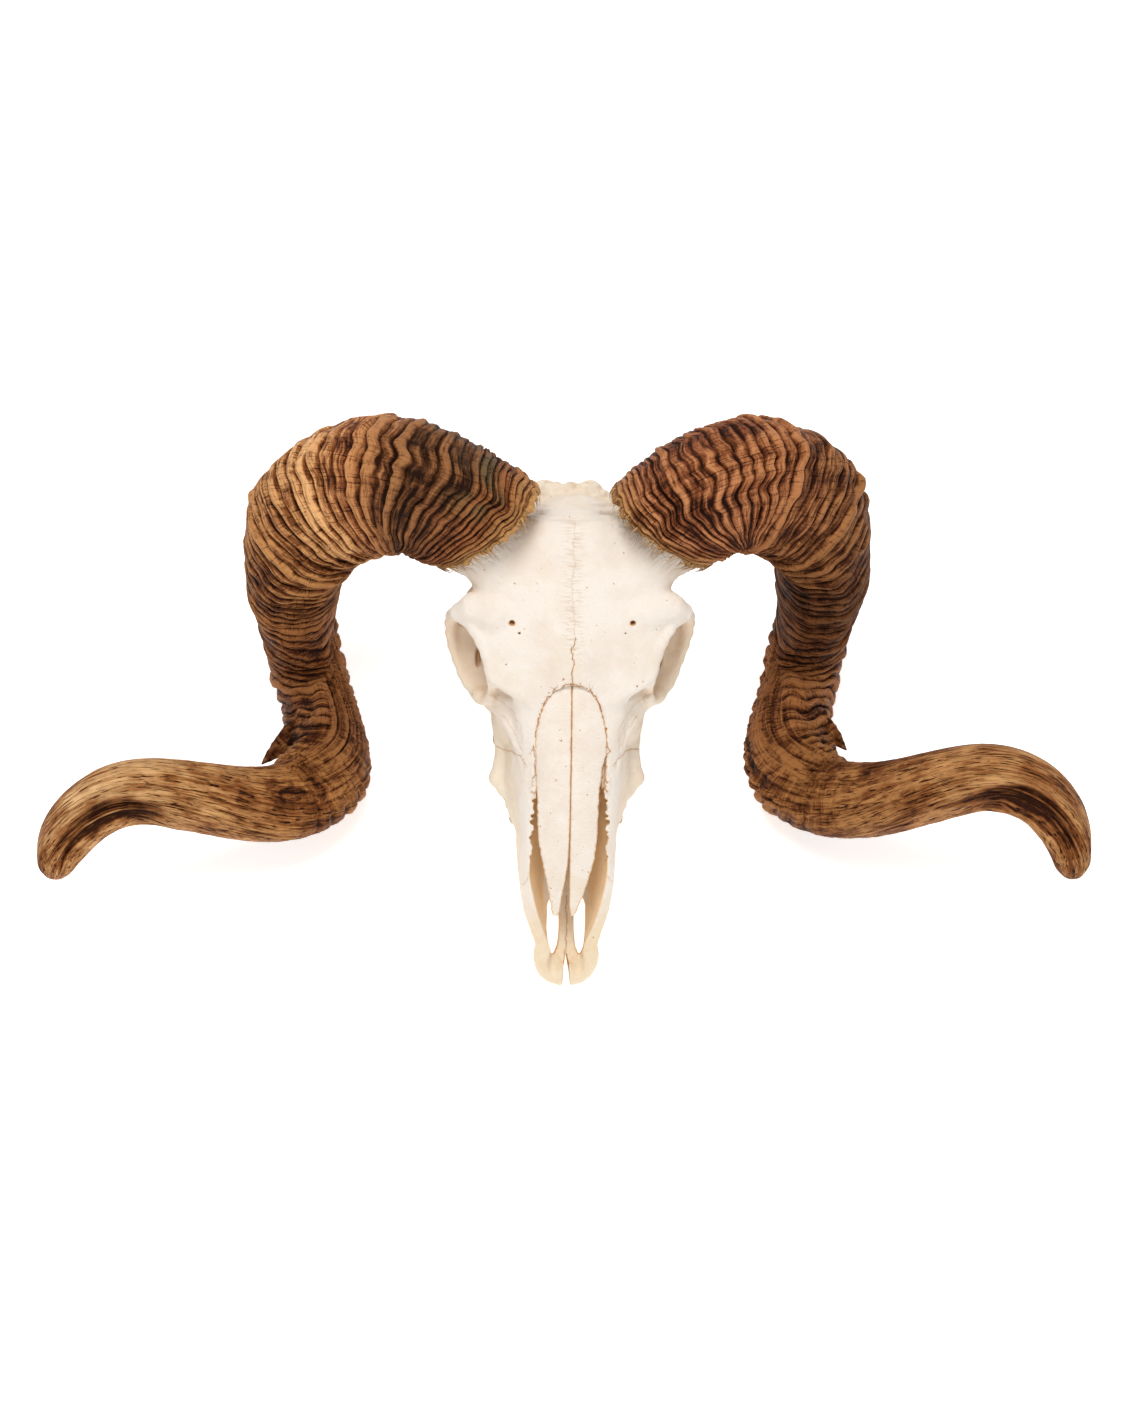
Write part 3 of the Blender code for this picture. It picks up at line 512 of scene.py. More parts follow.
def addCheek(f):
    arch = [(36, -47, -59, 4.2), (39.5, -38.5, -57, 3.2), (50, -29, -56, 3.8), (55, -22, -57, 3.8),
            (58, -12, -59, 3.6), (60, 0, -61, 3.5), (60, 10, -63, 3.4), (54, 26, -66, 3.6),
            (46, 40, -69, 4), (38, 52, -72, 5)]
    f.join(rod(*arch), 5)
    f.join(rod(*[(x, u, d - 6, 3.0) for x, u, d, _ in arch[1:7]]), 3)
    jawCrest = [(35, -84, -63, 4), (39.6, -77.5, -62, 4.2), (37, -67, -60, 4), (37, -56, -60, 4),
                (38.5, -44, -60, 4)]
    f.join(rod(*jawCrest), 5)
    faceRidge = [(50, -30.5, -44, 3.4), (41.5, -37, -40, 3.2), (35, -45, -32, 3.2), (29, -56, -25, 2.8),
                 (25.5, -68, -19, 1.6)]
    f.join(rod(*faceRidge), 4)
    f.join(rod((31, -28, -32, 9), (34, -38, -38, 8), (35, -47, -48, 8)), 5)
    f.cut(ball((41, -30, -20), (8, 2.4, 5)), 3)                                          # tear hollow
    f.join(ball((50.5, -9, -57), (5, 9, 7)), 3)
    f.cut(ball((51, -9, -47), (1.9, 6.5, 9)), 0.8)                                       # slit in the socket
    f.cut(ball((50, -60, -38), (12, 22, 15)), 7)
    f.cut(ball((43, -99, -36), (13, 26, 16)), 8)


# Lines along which bones have grown together: view they are laid from, points, mirrored or not, tone
seams = {
    "betweenBrows": ("front", [(1.2, 0.5), (-0.6, -6), (0.6, -12), (-0.2, -18), (0.4, -25)], False, 0.9),
    "betweenHigh": ("front", [(0, 62), (0.6, 44), (-0.5, 30), (0.4, 12), (1.0, 2)], False, 0.18),
    "aboveNasals": ("front", [(0.3, -24.6), (4.6, -25.0), (9.3, -27.4), (12.2, -30.6), (15.2, -35.2),
                              (17.8, -43.4), (19.5, -52), (19.8, -60)], True, 1.0),
    "besideNasals": ("front", [(19.8, -60), (19.6, -72), (19.2, -80), (19.0, -84)], True, 0.9),
    "tearBone": ("front", [(44, -30), (37.6, -33.2), (33.2, -38.8), (27.8, -47.2), (26.6, -55.5)], True, 0.22),
    "cheekBone": ("front", [(36, -44), (31.6, -50.4), (27.8, -59.5), (25.2, -68)], True, 0.25),
    "jawAcross": ("front", [(38.0, -60.6), (33, -61.6), (28.5, -63.5), (25.5, -68)], True, 0.6),
    "snout": ("front", [(29.5, -137), (25, -135.5), (22.5, -132)], True, 0.3),
    "betweenSnouts": ("front", [(0, -173), (0.2, -160), (0, -146)], False, 0.6),
    "temple": ("side", [(28, -38), (44, -34), (58, -40), (66, -52), (62, -68)], True, 0.6),
    "nape": ("back", [(0, -44), (14, -47), (26, -56), (34, -68)], True, 0.4),
    "palate": ("below", [(0, -168), (0, -120), (0, -62)], False, 0.7),
    "palateAcross": ("below", [(0.5, -66), (8, -63), (16, -68)], True, 0.7),
    "skullBase": ("below", [(0.5, 36), (6, 37), (10, 35)], True, 0.6),
}


def seamPaths(f):
    # each line at 0.8 mm, set off to the sides by random values from -0.6 to 0.6 mm, one every 1.9 mm and
    # straight between
    rng = np.random.default_rng(7)
    for view, rows, mirrored, tone in seams.values():
        rows = np.array(rows, float)
        run = np.concatenate([[0], np.cumsum(np.linalg.norm(np.diff(rows, axis=0), axis=1))])
        at = np.arange(0, run[-1], 0.8)
        plan = np.stack([np.interp(at, run, rows[:, 0]), np.interp(at, run, rows[:, 1])], 1)
        step = np.gradient(plan, axis=0)
        normal = np.stack([-step[:, 1], step[:, 0]], 1) / np.linalg.norm(step, axis=1, keepdims=True)
        for side in ((1, -1) if mirrored else (1,)):
            knots = np.arange(0, run[-1] + 3, 1.9)
            jagged = np.interp(at, knots, rng.uniform(-0.6, 0.6, len(knots)))
            shifted = plan + normal * jagged[:, None]
            points = f.drop(shifted, view)
            points[:, 0] *= side
            yield points, tone


def seamValues(points, normals, f):
    # distance sideways to the nearest line, signed, in millimetres, and how much of a line is there
    lateral, share = np.full(len(points), 6.0), np.zeros(len(points))
    nearest = np.full(len(points), 4.5)
    for path, tone in seamPaths(f):
        low, high = path.min(0) - 4.5, path.max(0) + 4.5
        found = np.flatnonzero(np.all((points > low) & (points < high), axis=1))
        along = np.gradient(path, axis=0)
        along = along / np.maximum(np.linalg.norm(along, axis=1, keepdims=True), 1e-9)
        for chunk in np.array_split(found, len(found) // 20000 + 1):
            offset = points[chunk][:, None, :] - path[None, :, :]
            away = np.linalg.norm(offset, axis=2)
            k = np.argmin(away, axis=1)
            away = away[np.arange(len(chunk)), k]
            side = np.cross(normals[chunk], along[k])
            side = side / np.maximum(np.linalg.norm(side, axis=1, keepdims=True), 1e-9)
            over = np.einsum("ij,ij->i", points[chunk] - path[k], side)
            closer = away < nearest[chunk]
            nearest[chunk[closer]] = away[closer]
            lateral[chunk[closer]] = over[closer]
            share[chunk[closer]] = tone * (1 - smooth(2.4, 4.2, away[closer]))
    return lateral, share


def stumpAlong(points):
    # millimetres along the axis of the horn's stump
    a, b, c = horn["normal"]
    return np.abs(points[:, 0]) * a + points[:, 1] * b + points[:, 2] * c


def stumpPlace(points):
    # two directions across the stump's axis, then along it
    x, u, d = np.abs(points[:, 0]), points[:, 1], points[:, 2]
    return stacked(x * 0.73 - u * 0.683, x * 0.239 + u * 0.256 - d * 0.937, stumpAlong(points))


boneRelief = {
    # width and height of each size of wave, and its seed
    "waves": [(9.0, 0.26, 3), (3.2, 0.11, 4), (1.5, 0.05, 2)],
    "seam": 0.2, "crest": (1.1, 0.5), "foreheadEdge": (0.6, 2.0), "ridges": 0.5, "stump": (0.5, 0.4),
    "noseEdge": 0.9,
}


def relief(points, normals, lateral, share):
    # movement along the normal: slight waves, a groove at each seam, a rough crest and porous stumps
    x, u, d = points.T
    own = boneRelief
    lift = sum(height * rough(points / width, seed) for width, height, seed in own["waves"])
    lift = lift - own["seam"] * share * np.exp(-(lateral / 0.7) ** 2)
    lift = lift + own["seam"] * share * np.exp(-((np.abs(lateral) - 1.5) / 0.8) ** 2)
    crest = smooth(74, 84, u) * smooth(-90, -60, d) * smooth(-36, -50, d)
    coarse, fine = own["crest"]
    lift = lift + crest * (coarse * rough(points / 4.2, 5) + fine * rough(points / 2.0, 6))
    # the forehead ends in an edge, and behind it the bone is ridged along that edge
    past = u - 65.5 - 4.5 * (x / 34.0) ** 2
    up = smooth(-0.1, 0.2, normals[:, 2]) * smooth(46, 36, np.abs(x)) * smooth(-60, -50, d)
    rise, fall = own["foreheadEdge"]
    lift = lift + up * (rise * np.exp(-((past + 1.5) / 1.8) ** 2) - fall * np.exp(-((past - 2.6) / 2.2) ** 2))
    lift = lift + up * smooth(2, 5, past) * own["ridges"] * ridged(stacked(x / 12, past / 2.8, 0), 27)
    stump = smooth(50, 64, stumpAlong(points))
    around = stumpPlace(points) / np.array([1.5, 1.5, 8.0])
    rise, fall = own["stump"]
    lift = lift + stump * (rise * np.clip(ridged(around, 8), -0.6, 1) - fall * np.abs(rough(points / 1.7, 9)))
    # the nose opening's edge, where the nasal bones lie free
    edge = smooth(-122, -108, u) * smooth(-60, -75, u) * np.exp(-((np.abs(x) - 21.5) / 2.0) ** 2)
    uneven = own["noseEdge"] * rough(points / np.array([3.0, 1.5, 3.0]), 10)
    lift = lift + edge * smooth(-25, -14, d) * (uneven - 0.2)
    return points + normals * lift[:, None]


def capped(thing, planes):
    # fills the open edges that lie on each plane (point, outward normal) and turns the new faces out
    mesh = bmesh.new()
    mesh.from_mesh(thing.data)
    for spot, outward in planes:
        spot, outward = toWorld(np.array([spot]))[0], turn @ (np.array(outward) / np.linalg.norm(outward))
        near = 0.0016 * fineness
        rim = [e for e in mesh.edges if e.is_boundary
               and all(abs((np.array(v.co) - spot) @ outward) < near for v in e.verts)]
        made = bmesh.ops.triangle_fill(mesh, use_beauty=False, edges=rim, normal=tuple(outward))["geom"]
        made = [g for g in made if isinstance(g, bmesh.types.BMFace)]
        for face in made:
            face.normal_update()
        bmesh.ops.reverse_faces(mesh, faces=[g for g in made if np.array(g.normal) @ outward < 0])
    left = sum(e.is_boundary for e in mesh.edges)
    mesh.to_mesh(thing.data)
    mesh.free()
    return left


def part(points, faces, normals, values, chosen, name, planes):
    # the chosen faces as a closed piece, shaded as the whole surface is
    used, index = np.unique(faces[chosen], return_inverse=True)
    thing = addMesh(name, points[used], [index.reshape(-1, 4)], None, {k: v[used] for k, v in values.items()})
    left = capped(thing, planes)
    thing.data.polygons.foreach_set("use_smooth", np.ones(len(thing.data.polygons), bool))
    thing.data.normals_split_custom_set_from_vertices((normals[used] @ turn.T).tolist())
    print(name, len(thing.data.polygons), "faces,", left, "open edges")
    return thing


def makeBone(material):
    f = boneField()
    print("bone field done")
    points, faces = f.surface()
    normals = pointNormals(points, faces)
    lateral, share = seamValues(points, normals, f)
    # how closely the bone closes in round each point, the way shade gathers there; it paints recesses tan and
    # ochre: the bone's stain together with painted shade
    recessShade = np.clip(1 - f.at(points + normals * 4.0) / 4.0, 0, 1) * 0.5
    recessShade = recessShade + np.clip(1 - f.at(points + normals * 10.0) / 10.0, 0, 1) * 0.5
    points = relief(points, normals, lateral, share)
    x, u, d = points.T
    front = smooth(0.2, 0.7, normals[:, 2])
    values = {
        "seam": lateral, "seamShare": share, "recessShade": recessShade,
        "strokes": np.exp(-(x / 6.0) ** 2) * smooth(-22, 0, u) * front,
        "cavity": smooth(-60, -66, u) * smooth(3, 0.5, np.maximum(np.abs(x) - curve(bone["mouthHalf"], u), 0))
                  * smooth(-0.35, 0.1, -np.sign(x) * normals[:, 0]) * smooth(0.85, 0.6, normals[:, 2])
                  * smooth(-188, -134, u) * smooth(-72, -60, d),
        "yellow": smooth(-140, -180, u) + smooth(-22, -50, d) * 0.5,
        "rim": smooth(52, 66, stumpAlong(points)),
        "stump": stumpPlace(points),
        "socket": smooth(0.5, 0.1, np.abs(normals[:, 2]) * (d > -14)) * smooth(1.15, 0.8, np.linalg.norm(
            (np.stack([np.abs(x), u, d], -1) - orbit["center"]) / np.array([30.0, 26.0, 22.0]), axis=1)),
    }
    points = leaned(points)
    normals = pointNormals(points, faces)
    middle = points[faces].mean(axis=1)
    tilt = bone["cheekCut"][1]
    slope = middle[:, 1] + tilt * middle[:, 2]
    cranium = slope > bone["cheekCut"][0]
    back = cranium & (middle[:, 1] > bone["crownCut"])
    snout = ~cranium & (middle[:, 1] < bone["snoutCut"])
    cheek, crown = (0, bone["cheekCut"][0], 0), (0, bone["crownCut"], 0)
    tip = (0, bone["snoutCut"], 0)
    pieces = {
        "cranium_front": (cranium & ~back, "cranium", [(cheek, (0, -1, -tilt)), (crown, (0, 1, 0))]),
        "cranium_back": (back, "cranium", [(crown, (0, -1, 0))]),
        "upper_jaw_bone": (~cranium & ~snout, "upper_jaw", [(cheek, (0, 1, tilt)), (tip, (0, -1, 0))]),
        "snout": (snout, "premaxilla_right premaxilla_left", [(tip, (0, 1, 0))]),
    }
    for name, (chosen, nodes, planes) in pieces.items():
        thing = part(points, faces, normals, values, np.flatnonzero(chosen), name, planes)
        finishPiece(thing, material, "bone", *nodes.split())


def makeNasals(material):
    # u along the bone, q across it from its inner to its outer edge; the underside follows the top at
    # the bone's thickness and both close at the edges
    count, across = int(nasal["rings"] / fineness), int(nasal["across"] / fineness)
    share = 0.5 - 0.5 * np.cos(np.pi * np.linspace(0, 1, count))
    u = (nasal["from"] + share * nasal["long"])[:, None]
    angle = np.linspace(0, 2 * np.pi, across * 2, endpoint=False)[None, :]
    q = 0.5 - 0.5 * np.cos(angle) + 0 * u
    upper = np.sin(angle) > 0
    for name, side in (("right", 1), ("left", -1)):
        own = nasal[name]
        joins = own["outer"][-1][0]         # from here on both bones have the same edge
        shared = smooth(joins - 6, joins + 2, u)
        ragged = 0.3 * rough(stacked(u / 1.7, side + 0 * q, 0), 21)
        inner = curve(own["inner"], u) + 0.12 * rough(stacked(u / 2.2, side + 0 * q, 0), 22)
        outer = curve(nasal["outer"], u) * shared + curve(own["outer"], u) * (1 - shared) + ragged
        outer = outer + 0.55 * smooth(-84, -76, u)        # its edge lies just inside the bone around it
        x = inner + (outer - inner) * q
        thick = nasal["thick"] * np.clip(0.45 + 0.03 * (u + 154), 0, 1)
        bulge = np.abs(np.sin(angle)) ** 0.32
        place = stacked(x * side, u, 0)
        crackle = 0.07 * rough(place / np.array([4.0, 0.8, 1.0]), 23) + 0.12 * rough(place / 6.0, 24)
        base = nasalLevel(x, u) - 0.5 * thick
        d = base + np.where(upper, 0.5, -0.5) * thick * bulge + np.where(upper, crackle, 0)
        faces, caps, points = tube(stacked(x * side, u, d).reshape(-1, 3), count, across * 2)
        if side < 0:
            faces, caps = faces[:, ::-1], caps[:, ::-1]
        values = {"edge": (np.minimum(q, 1 - q) * (outer - inner), 0, 0), "upper": (upper + 0 * q, 0, 0),
                  "tipward": (smooth(-118, -152, u + 0 * q), 1, 0)}
        values = {key: np.concatenate([v.ravel(), ends]) for key, (v, *ends) in values.items()}
        thing = addMesh(f"nasal_{name}_bone", leaned(points), [faces, caps], None, values)
        finishPiece(thing, material, "bone", "nasal_" + name)
    print("nasal bones done")


teeth = {
    # length, width and height of each crown from the front
    "rows": [(8, 8.5, 7), (9.5, 9.5, 8), (10, 11, 9), (13.5, 13, 10), (16, 13.5, 10.5), (17.5, 13, 10)],
    "start": -104.0,                # u of the first tooth's front
    "root": 6.0,                    # sunk into the jaw
    "rings": 34, "around": 56,
    "turnsIn": 0.62,                # share of the rings up to the edge of the chewing face
    # the row's middle is 27 + 7.5 sin(2.2 s) to the side and -71 - 18 s high, s its share from the front
    "row": (27, 7.5, 2.2), "level": (-71, -18),
    "crescents": 0.8,               # height of the ridges across the chewing face
}


def makeTeeth(material):
    # each crown: a ring with two lobes carried up from the root, then in over the chewing face, whose
    # height follows crescents across the lobes
    total = sum(length for length, width, height in teeth["rows"])
    turnsIn = teeth["turnsIn"]
    v = np.linspace(0, 1, teeth["rings"])[:, None]
    t = np.linspace(0, 2 * np.pi, teeth["around"], endpoint=False)[None, :]
    up = np.clip(v / turnsIn, 0, 1)
    shrink = np.where(v > turnsIn, np.sqrt(np.clip(1 - ((v - turnsIn) / (1 - turnsIn)), 0, 1)) ** 1.4, 1.0)
    square = (np.abs(np.cos(t)) ** 4 + np.abs(np.sin(t)) ** 4) ** -0.25
    chew = np.concatenate([(smooth(0.6, 0.75, v) + 0 * t).ravel(), [0, 1]])
    for name, side in (("teeth_right", 1), ("teeth_left", -1)):
        made, begun, at = [], 0, teeth["start"]
        for n, (length, width, height) in enumerate(teeth["rows"]):
            lobeDepth, lobeCount = (0.10, 2) if n > 2 else (0.03, 1)
            middle = at + length / 2
            at += length
            share = (middle - teeth["start"]) / total
            (mid, bow, turns), (level, drop) = teeth["row"], teeth["level"]
            center = (mid + bow * math.sin(share * turns), middle, level + drop * share)
            outline = square * (1 + lobeDepth * np.cos(4 * t) * np.abs(np.sin(t)) ** 0.5) * shrink
            a = (length / 2 - 0.25) * np.cos(t) * outline * (0.93 + 0.07 * up)
            b = (width / 2) * np.sin(t) * outline * (1.0 - 0.12 * up)
            crescent = np.sin(2 * np.pi * (b / width * 2.0)) * np.cos(np.pi * a / length * lobeCount)
            sunk = 0.5 + teeth["crescents"] * crescent * 1.3
            d = teeth["root"] * (1 - up) - height * up - np.where(v > turnsIn, (1 - shrink) * sunk, 0)
            points = stacked((center[0] + b) * side, center[1] + a, center[2] + d).reshape(-1, 3)
            faces, caps, points = tube(points, teeth["rings"], teeth["around"])
            made.append((points, faces + begun, caps + begun, chew))
            begun += len(points)
        points, faces, caps, worn = (np.concatenate(parts) for parts in zip(*made))
        faces, caps = turnedOut(points, faces, caps)
        thing = addMesh(name, leaned(points), [faces, caps], None, {"chew": worn})
        finishPiece(thing, material, "bone")
    print("teeth done")


horn = {
    # rows of x, u, d of the centre line, then the section's depth away from the coil's axis and its
    # width along that axis
    "axis": (0.0, -65.0),           # u, d of the coil's axis, which runs to the sides
    "normal": (0.64, 0.684, 0.35),
    "plane": 68.5,
    "cuts": (0.27, 0.64),
    "left": [
        (-24.6, 38.7, -23.8, 64, 56), (-42.9, 57.6, -14.0, 72, 57), (-66.8, 72.0, -2.0, 76, 59),
        (-89.3, 82.2, 1.0, 77, 61), (-112.9, 84.3, -12.0, 79, 63), (-134.7, 77.7, -33.0, 77, 63),
        (-153.3, 59.3, -60.0, 72, 61), (-160.5, 37.5, -88.0, 66, 56), (-161.5, 15.1, -113.0, 58, 46),
        (-158.3, -6.7, -132.0, 53, 43), (-151.2, -31.2, -131.0, 51, 43), (-144.0, -54.5, -111.0, 48, 46),
        (-144.3, -73.9, -91.0, 48, 48), (-157.4, -87.8, -76.0, 46, 46), (-176.4, -91.9, -58.0, 43, 40),
        (-201.5, -88.5, -38.0, 40, 36), (-226.8, -84.2, -22.0, 38, 34), (-251.5, -85.0, -12.0, 36, 32),
        (-272.4, -96.8, -12.0, 34, 30), (-285.3, -113.5, -18.0, 30, 26), (-289.3, -128.5, -26.0, 20, 17),
    ],
    "right": [
        (24.6, 38.7, -23.8, 62, 56), (43.2, 57.0, -14.5, 69, 56), (64.5, 72.2, -2.0, 75, 59),
        (85.7, 82.8, 1.5, 76, 60), (107.8, 84.3, -12.0, 76, 58), (124.8, 78.0, -33.0, 74, 57),
        (138.6, 60.4, -60.0, 69, 55), (142.6, 37.5, -88.0, 64, 53), (140.9, 16.2, -113.0, 57, 46),
        (137.0, -3.9, -132.0, 53, 44), (132.0, -27.2, -132.0, 52, 44), (125.6, -50.5, -112.0, 49, 48),
        (127.8, -73.3, -91.0, 48, 49), (141.7, -86.5, -76.0, 46, 46), (163.1, -89.6, -58.0, 43, 40),
        (185.4, -85.2, -38.0, 40, 37), (211.8, -77.8, -22.0, 38, 35), (236.2, -75.8, -12.0, 37, 33),
        (260.0, -86.4, -12.0, 35, 30), (273.8, -106.3, -18.0, 31, 26), (278.0, -128.6, -26.0, 20, 17),
    ],
    # along the horn, in millimetres: spacing of the rings, their height, how far they wave
    "spacing": [(0, 3.2), (50, 3.5), (62, 5.4), (78, 6.8), (130, 7.2), (150, 5.8), (175, 5.4), (188, 4.2),
                (202, 4.8), (214, 7.0), (226, 7.8), (300, 7.5), (370, 9.0)],
    "height": [(0, 1.2), (10, 2.1), (45, 2.4), (60, 3.0), (80, 3.6), (130, 3.2), (165, 2.7), (188, 2.2),
               (208, 2.4), (222, 3.0), (300, 2.7), (345, 1.5), (385, 0.1), (540, 0.0)],
    "wave": [(0, 0.8), (12, 3.0), (50, 4.2), (75, 3.0), (130, 2.4), (200, 2.4), (300, 3.2), (380, 1.5),
             (540, 0.5)],
    "rim": 2.6,                     # how far the edge at the skull runs in and out
    # the narrow part's keel: its angle along the horn, and where the outer layer breaks off past it
    "keel": [(200, 1.8), (240, 2.36), (258, 2.7), (285, 3.1), (318, 3.3), (345, 3.6)],
    "breaksAt": 336.0,
    "tornAt": -1.9,                 # angle of the broken edge
    "keelDrop": 30.0,               # how far the rings run on towards the tip at the keel
    "dropped": (180, 256, 320, 405),
    "around": int(250 / fineness), "rowsPerRing": 10 / fineness, "plainStep": 0.85 * fineness,
    "ringsTo": 385.0, "phaseTo": 560,
    # height of each ring and depth of each furrow: from, to, then the share of bold ones and their value
    "tall": (0.5, 1.3, 0.16, 1.6), "furrow": (0.3, 1.0, 0.2, 1.9),
    "square": 0.85,                 # power that squares the section's corners
    "keelHeight": 1.5, "knobHeight": 2.6, "strandDepth": 0.95, "layer": 2.4,
    "grain": 0.30, "fissures": 0.7, "cracks": 1.6,
    # how much each form lightens or darkens the rings: groove is dirt and painted shade in the furrows, arch
    # and crest are paler horn with a painted highlight on the ring tops, edge is a thin painted highlight line
    "tone": {"level": 0.24, "arch": 0.26, "crest": 0.34, "groove": 0.85, "lines": 0.16, "fine": 0.15,
             "patch": 0.24, "tall": 0.42, "second": 0.45, "edge": 0.22, "broken": 0.7},
    "seeds": {"left": 40, "right": 70},
    "knobsAt": -0.8,                # angle from the outer edge, towards the front, of the boldest knobs
    "neck": (212, 238, 335, 372),   # where the two faces of the narrow part begin and end
    # the hollow under the point: its angle along the horn, half width, from, full, full, to, depth
    "hollowAt": [(440, -0.15), (465, 0.2), (480, 0.40), (500, 0.36), (525, 0.2)],
    "hollow": (0.58, 436, 470, 510, 530, 5.0),
}


def spline(rows, share):
    # natural cubic through rows, spaced by the distance of their places
    rows = np.array(rows, float)
    chord = np.concatenate([[0], np.cumsum(np.linalg.norm(np.diff(rows[:, :3], axis=0), axis=1))])
    h = np.diff(chord)
    count = len(rows)
    system, right = np.zeros((count, count)), np.zeros((count, rows.shape[1]))
    system[0, 0] = system[-1, -1] = 1
    for i in range(1, count - 1):
        system[i, i - 1:i + 2] = h[i - 1], 2 * (h[i - 1] + h[i]), h[i]
        right[i] = 6 * ((rows[i + 1] - rows[i]) / h[i] - (rows[i] - rows[i - 1]) / h[i - 1])
    bend = np.linalg.solve(system, right)
    at = np.asarray(share) * chord[-1]
    i = np.clip(np.searchsorted(chord, at, side="right") - 1, 0, count - 2)
    a = ((chord[i + 1] - at) / h[i])[:, None]
    b = 1 - a
    sag = ((a ** 3 - a) * bend[i] + (b ** 3 - b) * bend[i + 1]) * (h[i] ** 2)[:, None] / 6
    return a * rows[i] + b * rows[i + 1] + sag


class HornLine:
    # centre line with its length, and two directions across it: out, away from the coil's axis, and wide
    def __init__(self, rows, side):
        fine = spline(rows, np.linspace(0, 1, 3001))
        normal = unit(np.array([side * horn["normal"][0], horn["normal"][1], horn["normal"][2]]))
        fine = fine[int(np.argmax(fine[:, :3] @ normal > horn["plane"] + 0.15)):]
        self.run = np.concatenate([[0], np.cumsum(np.linalg.norm(np.diff(fine[:, :3], axis=0), axis=1))])
        self.length, self.fine = self.run[-1], fine
        tangent = unit(np.gradient(fine[:, :3], axis=0))
        settle = np.clip(self.run / 40.0, 0, 1)[:, None]
        self.tangent = unit(tangent * settle + normal * (1 - settle))
        out = stacked(0, fine[:, 1] - horn["axis"][0], fine[:, 2] - horn["axis"][1])
        out = unit(out - self.tangent * np.einsum("ij,ij->i", out, self.tangent)[:, None])
        self.out, self.wide = out, np.cross(self.tangent, out)

    def pick(self, table, at):
        return np.stack([np.interp(at, self.run, table[:, k]) for k in range(table.shape[1])], -1)

    def surface(self, at, angle, lift):
        # superellipse of half axes grown by lift; straight on beyond the end
        row = self.pick(self.fine, at)
        beyond = np.maximum(at - self.length, 0)[..., None]
        before = np.minimum(at, 0)[..., None]
        c, s = np.cos(angle), np.sin(angle)
        high = (row[..., 3] / 2 + lift) * np.sign(c) * np.abs(c) ** horn["square"]
        wide = (row[..., 4] / 2 + lift) * np.sign(s) * np.abs(s) ** horn["square"] * (1 + 0.18 * c)
        q = np.clip((at - (self.length - 8)) / 12.0, 0, 0.9999)
        close = np.sqrt(1 - q * q)
        return (row[..., :3] + beyond * self.tangent[-1] + before * self.tangent[0]
                + unit(self.pick(self.out, at)) * (high * close)[..., None]
                + unit(self.pick(self.wide, at)) * (wide * close)[..., None])


def ringPhase(length):
    # number of rings passed at each length: the sum of one over the spacing
    at = np.linspace(0, length + 6, 6000)
    rate = 1 / curve(horn["spacing"], at)
    rate[at > horn["ringsTo"]] = 1 / 9.0
    return at, np.concatenate([[0], np.cumsum((rate[1:] + rate[:-1]) / 2 * np.diff(at))])


def hornRows(length):
    # lengths of the grid's rows, closer where rings are narrow
    at = ringPhase(length)[0]
    rate = np.where(at < horn["ringsTo"], horn["rowsPerRing"] / curve(horn["spacing"], at), 0)
    rate = np.maximum(rate, 1 / horn["plainStep"])
    count = np.concatenate([[0], np.cumsum((rate[1:] + rate[:-1]) / 2 * np.diff(at))])
    end = np.interp(length + 3.9, at, count)
    return np.interp(np.linspace(0, end, int(end)), count, at)


def bump(angle, middle, half):
    # bell round an angle, wrapped
    away = np.abs((angle - middle + np.pi) % (2 * np.pi) - np.pi)
    return np.exp(-(away / half) ** 2)


def aroundHorn(angle, turns, along):
    # a place that closes on itself round the horn: turns sets how fast it changes on the way round
    return stacked(turns * np.cos(angle), turns * np.sin(angle), along)


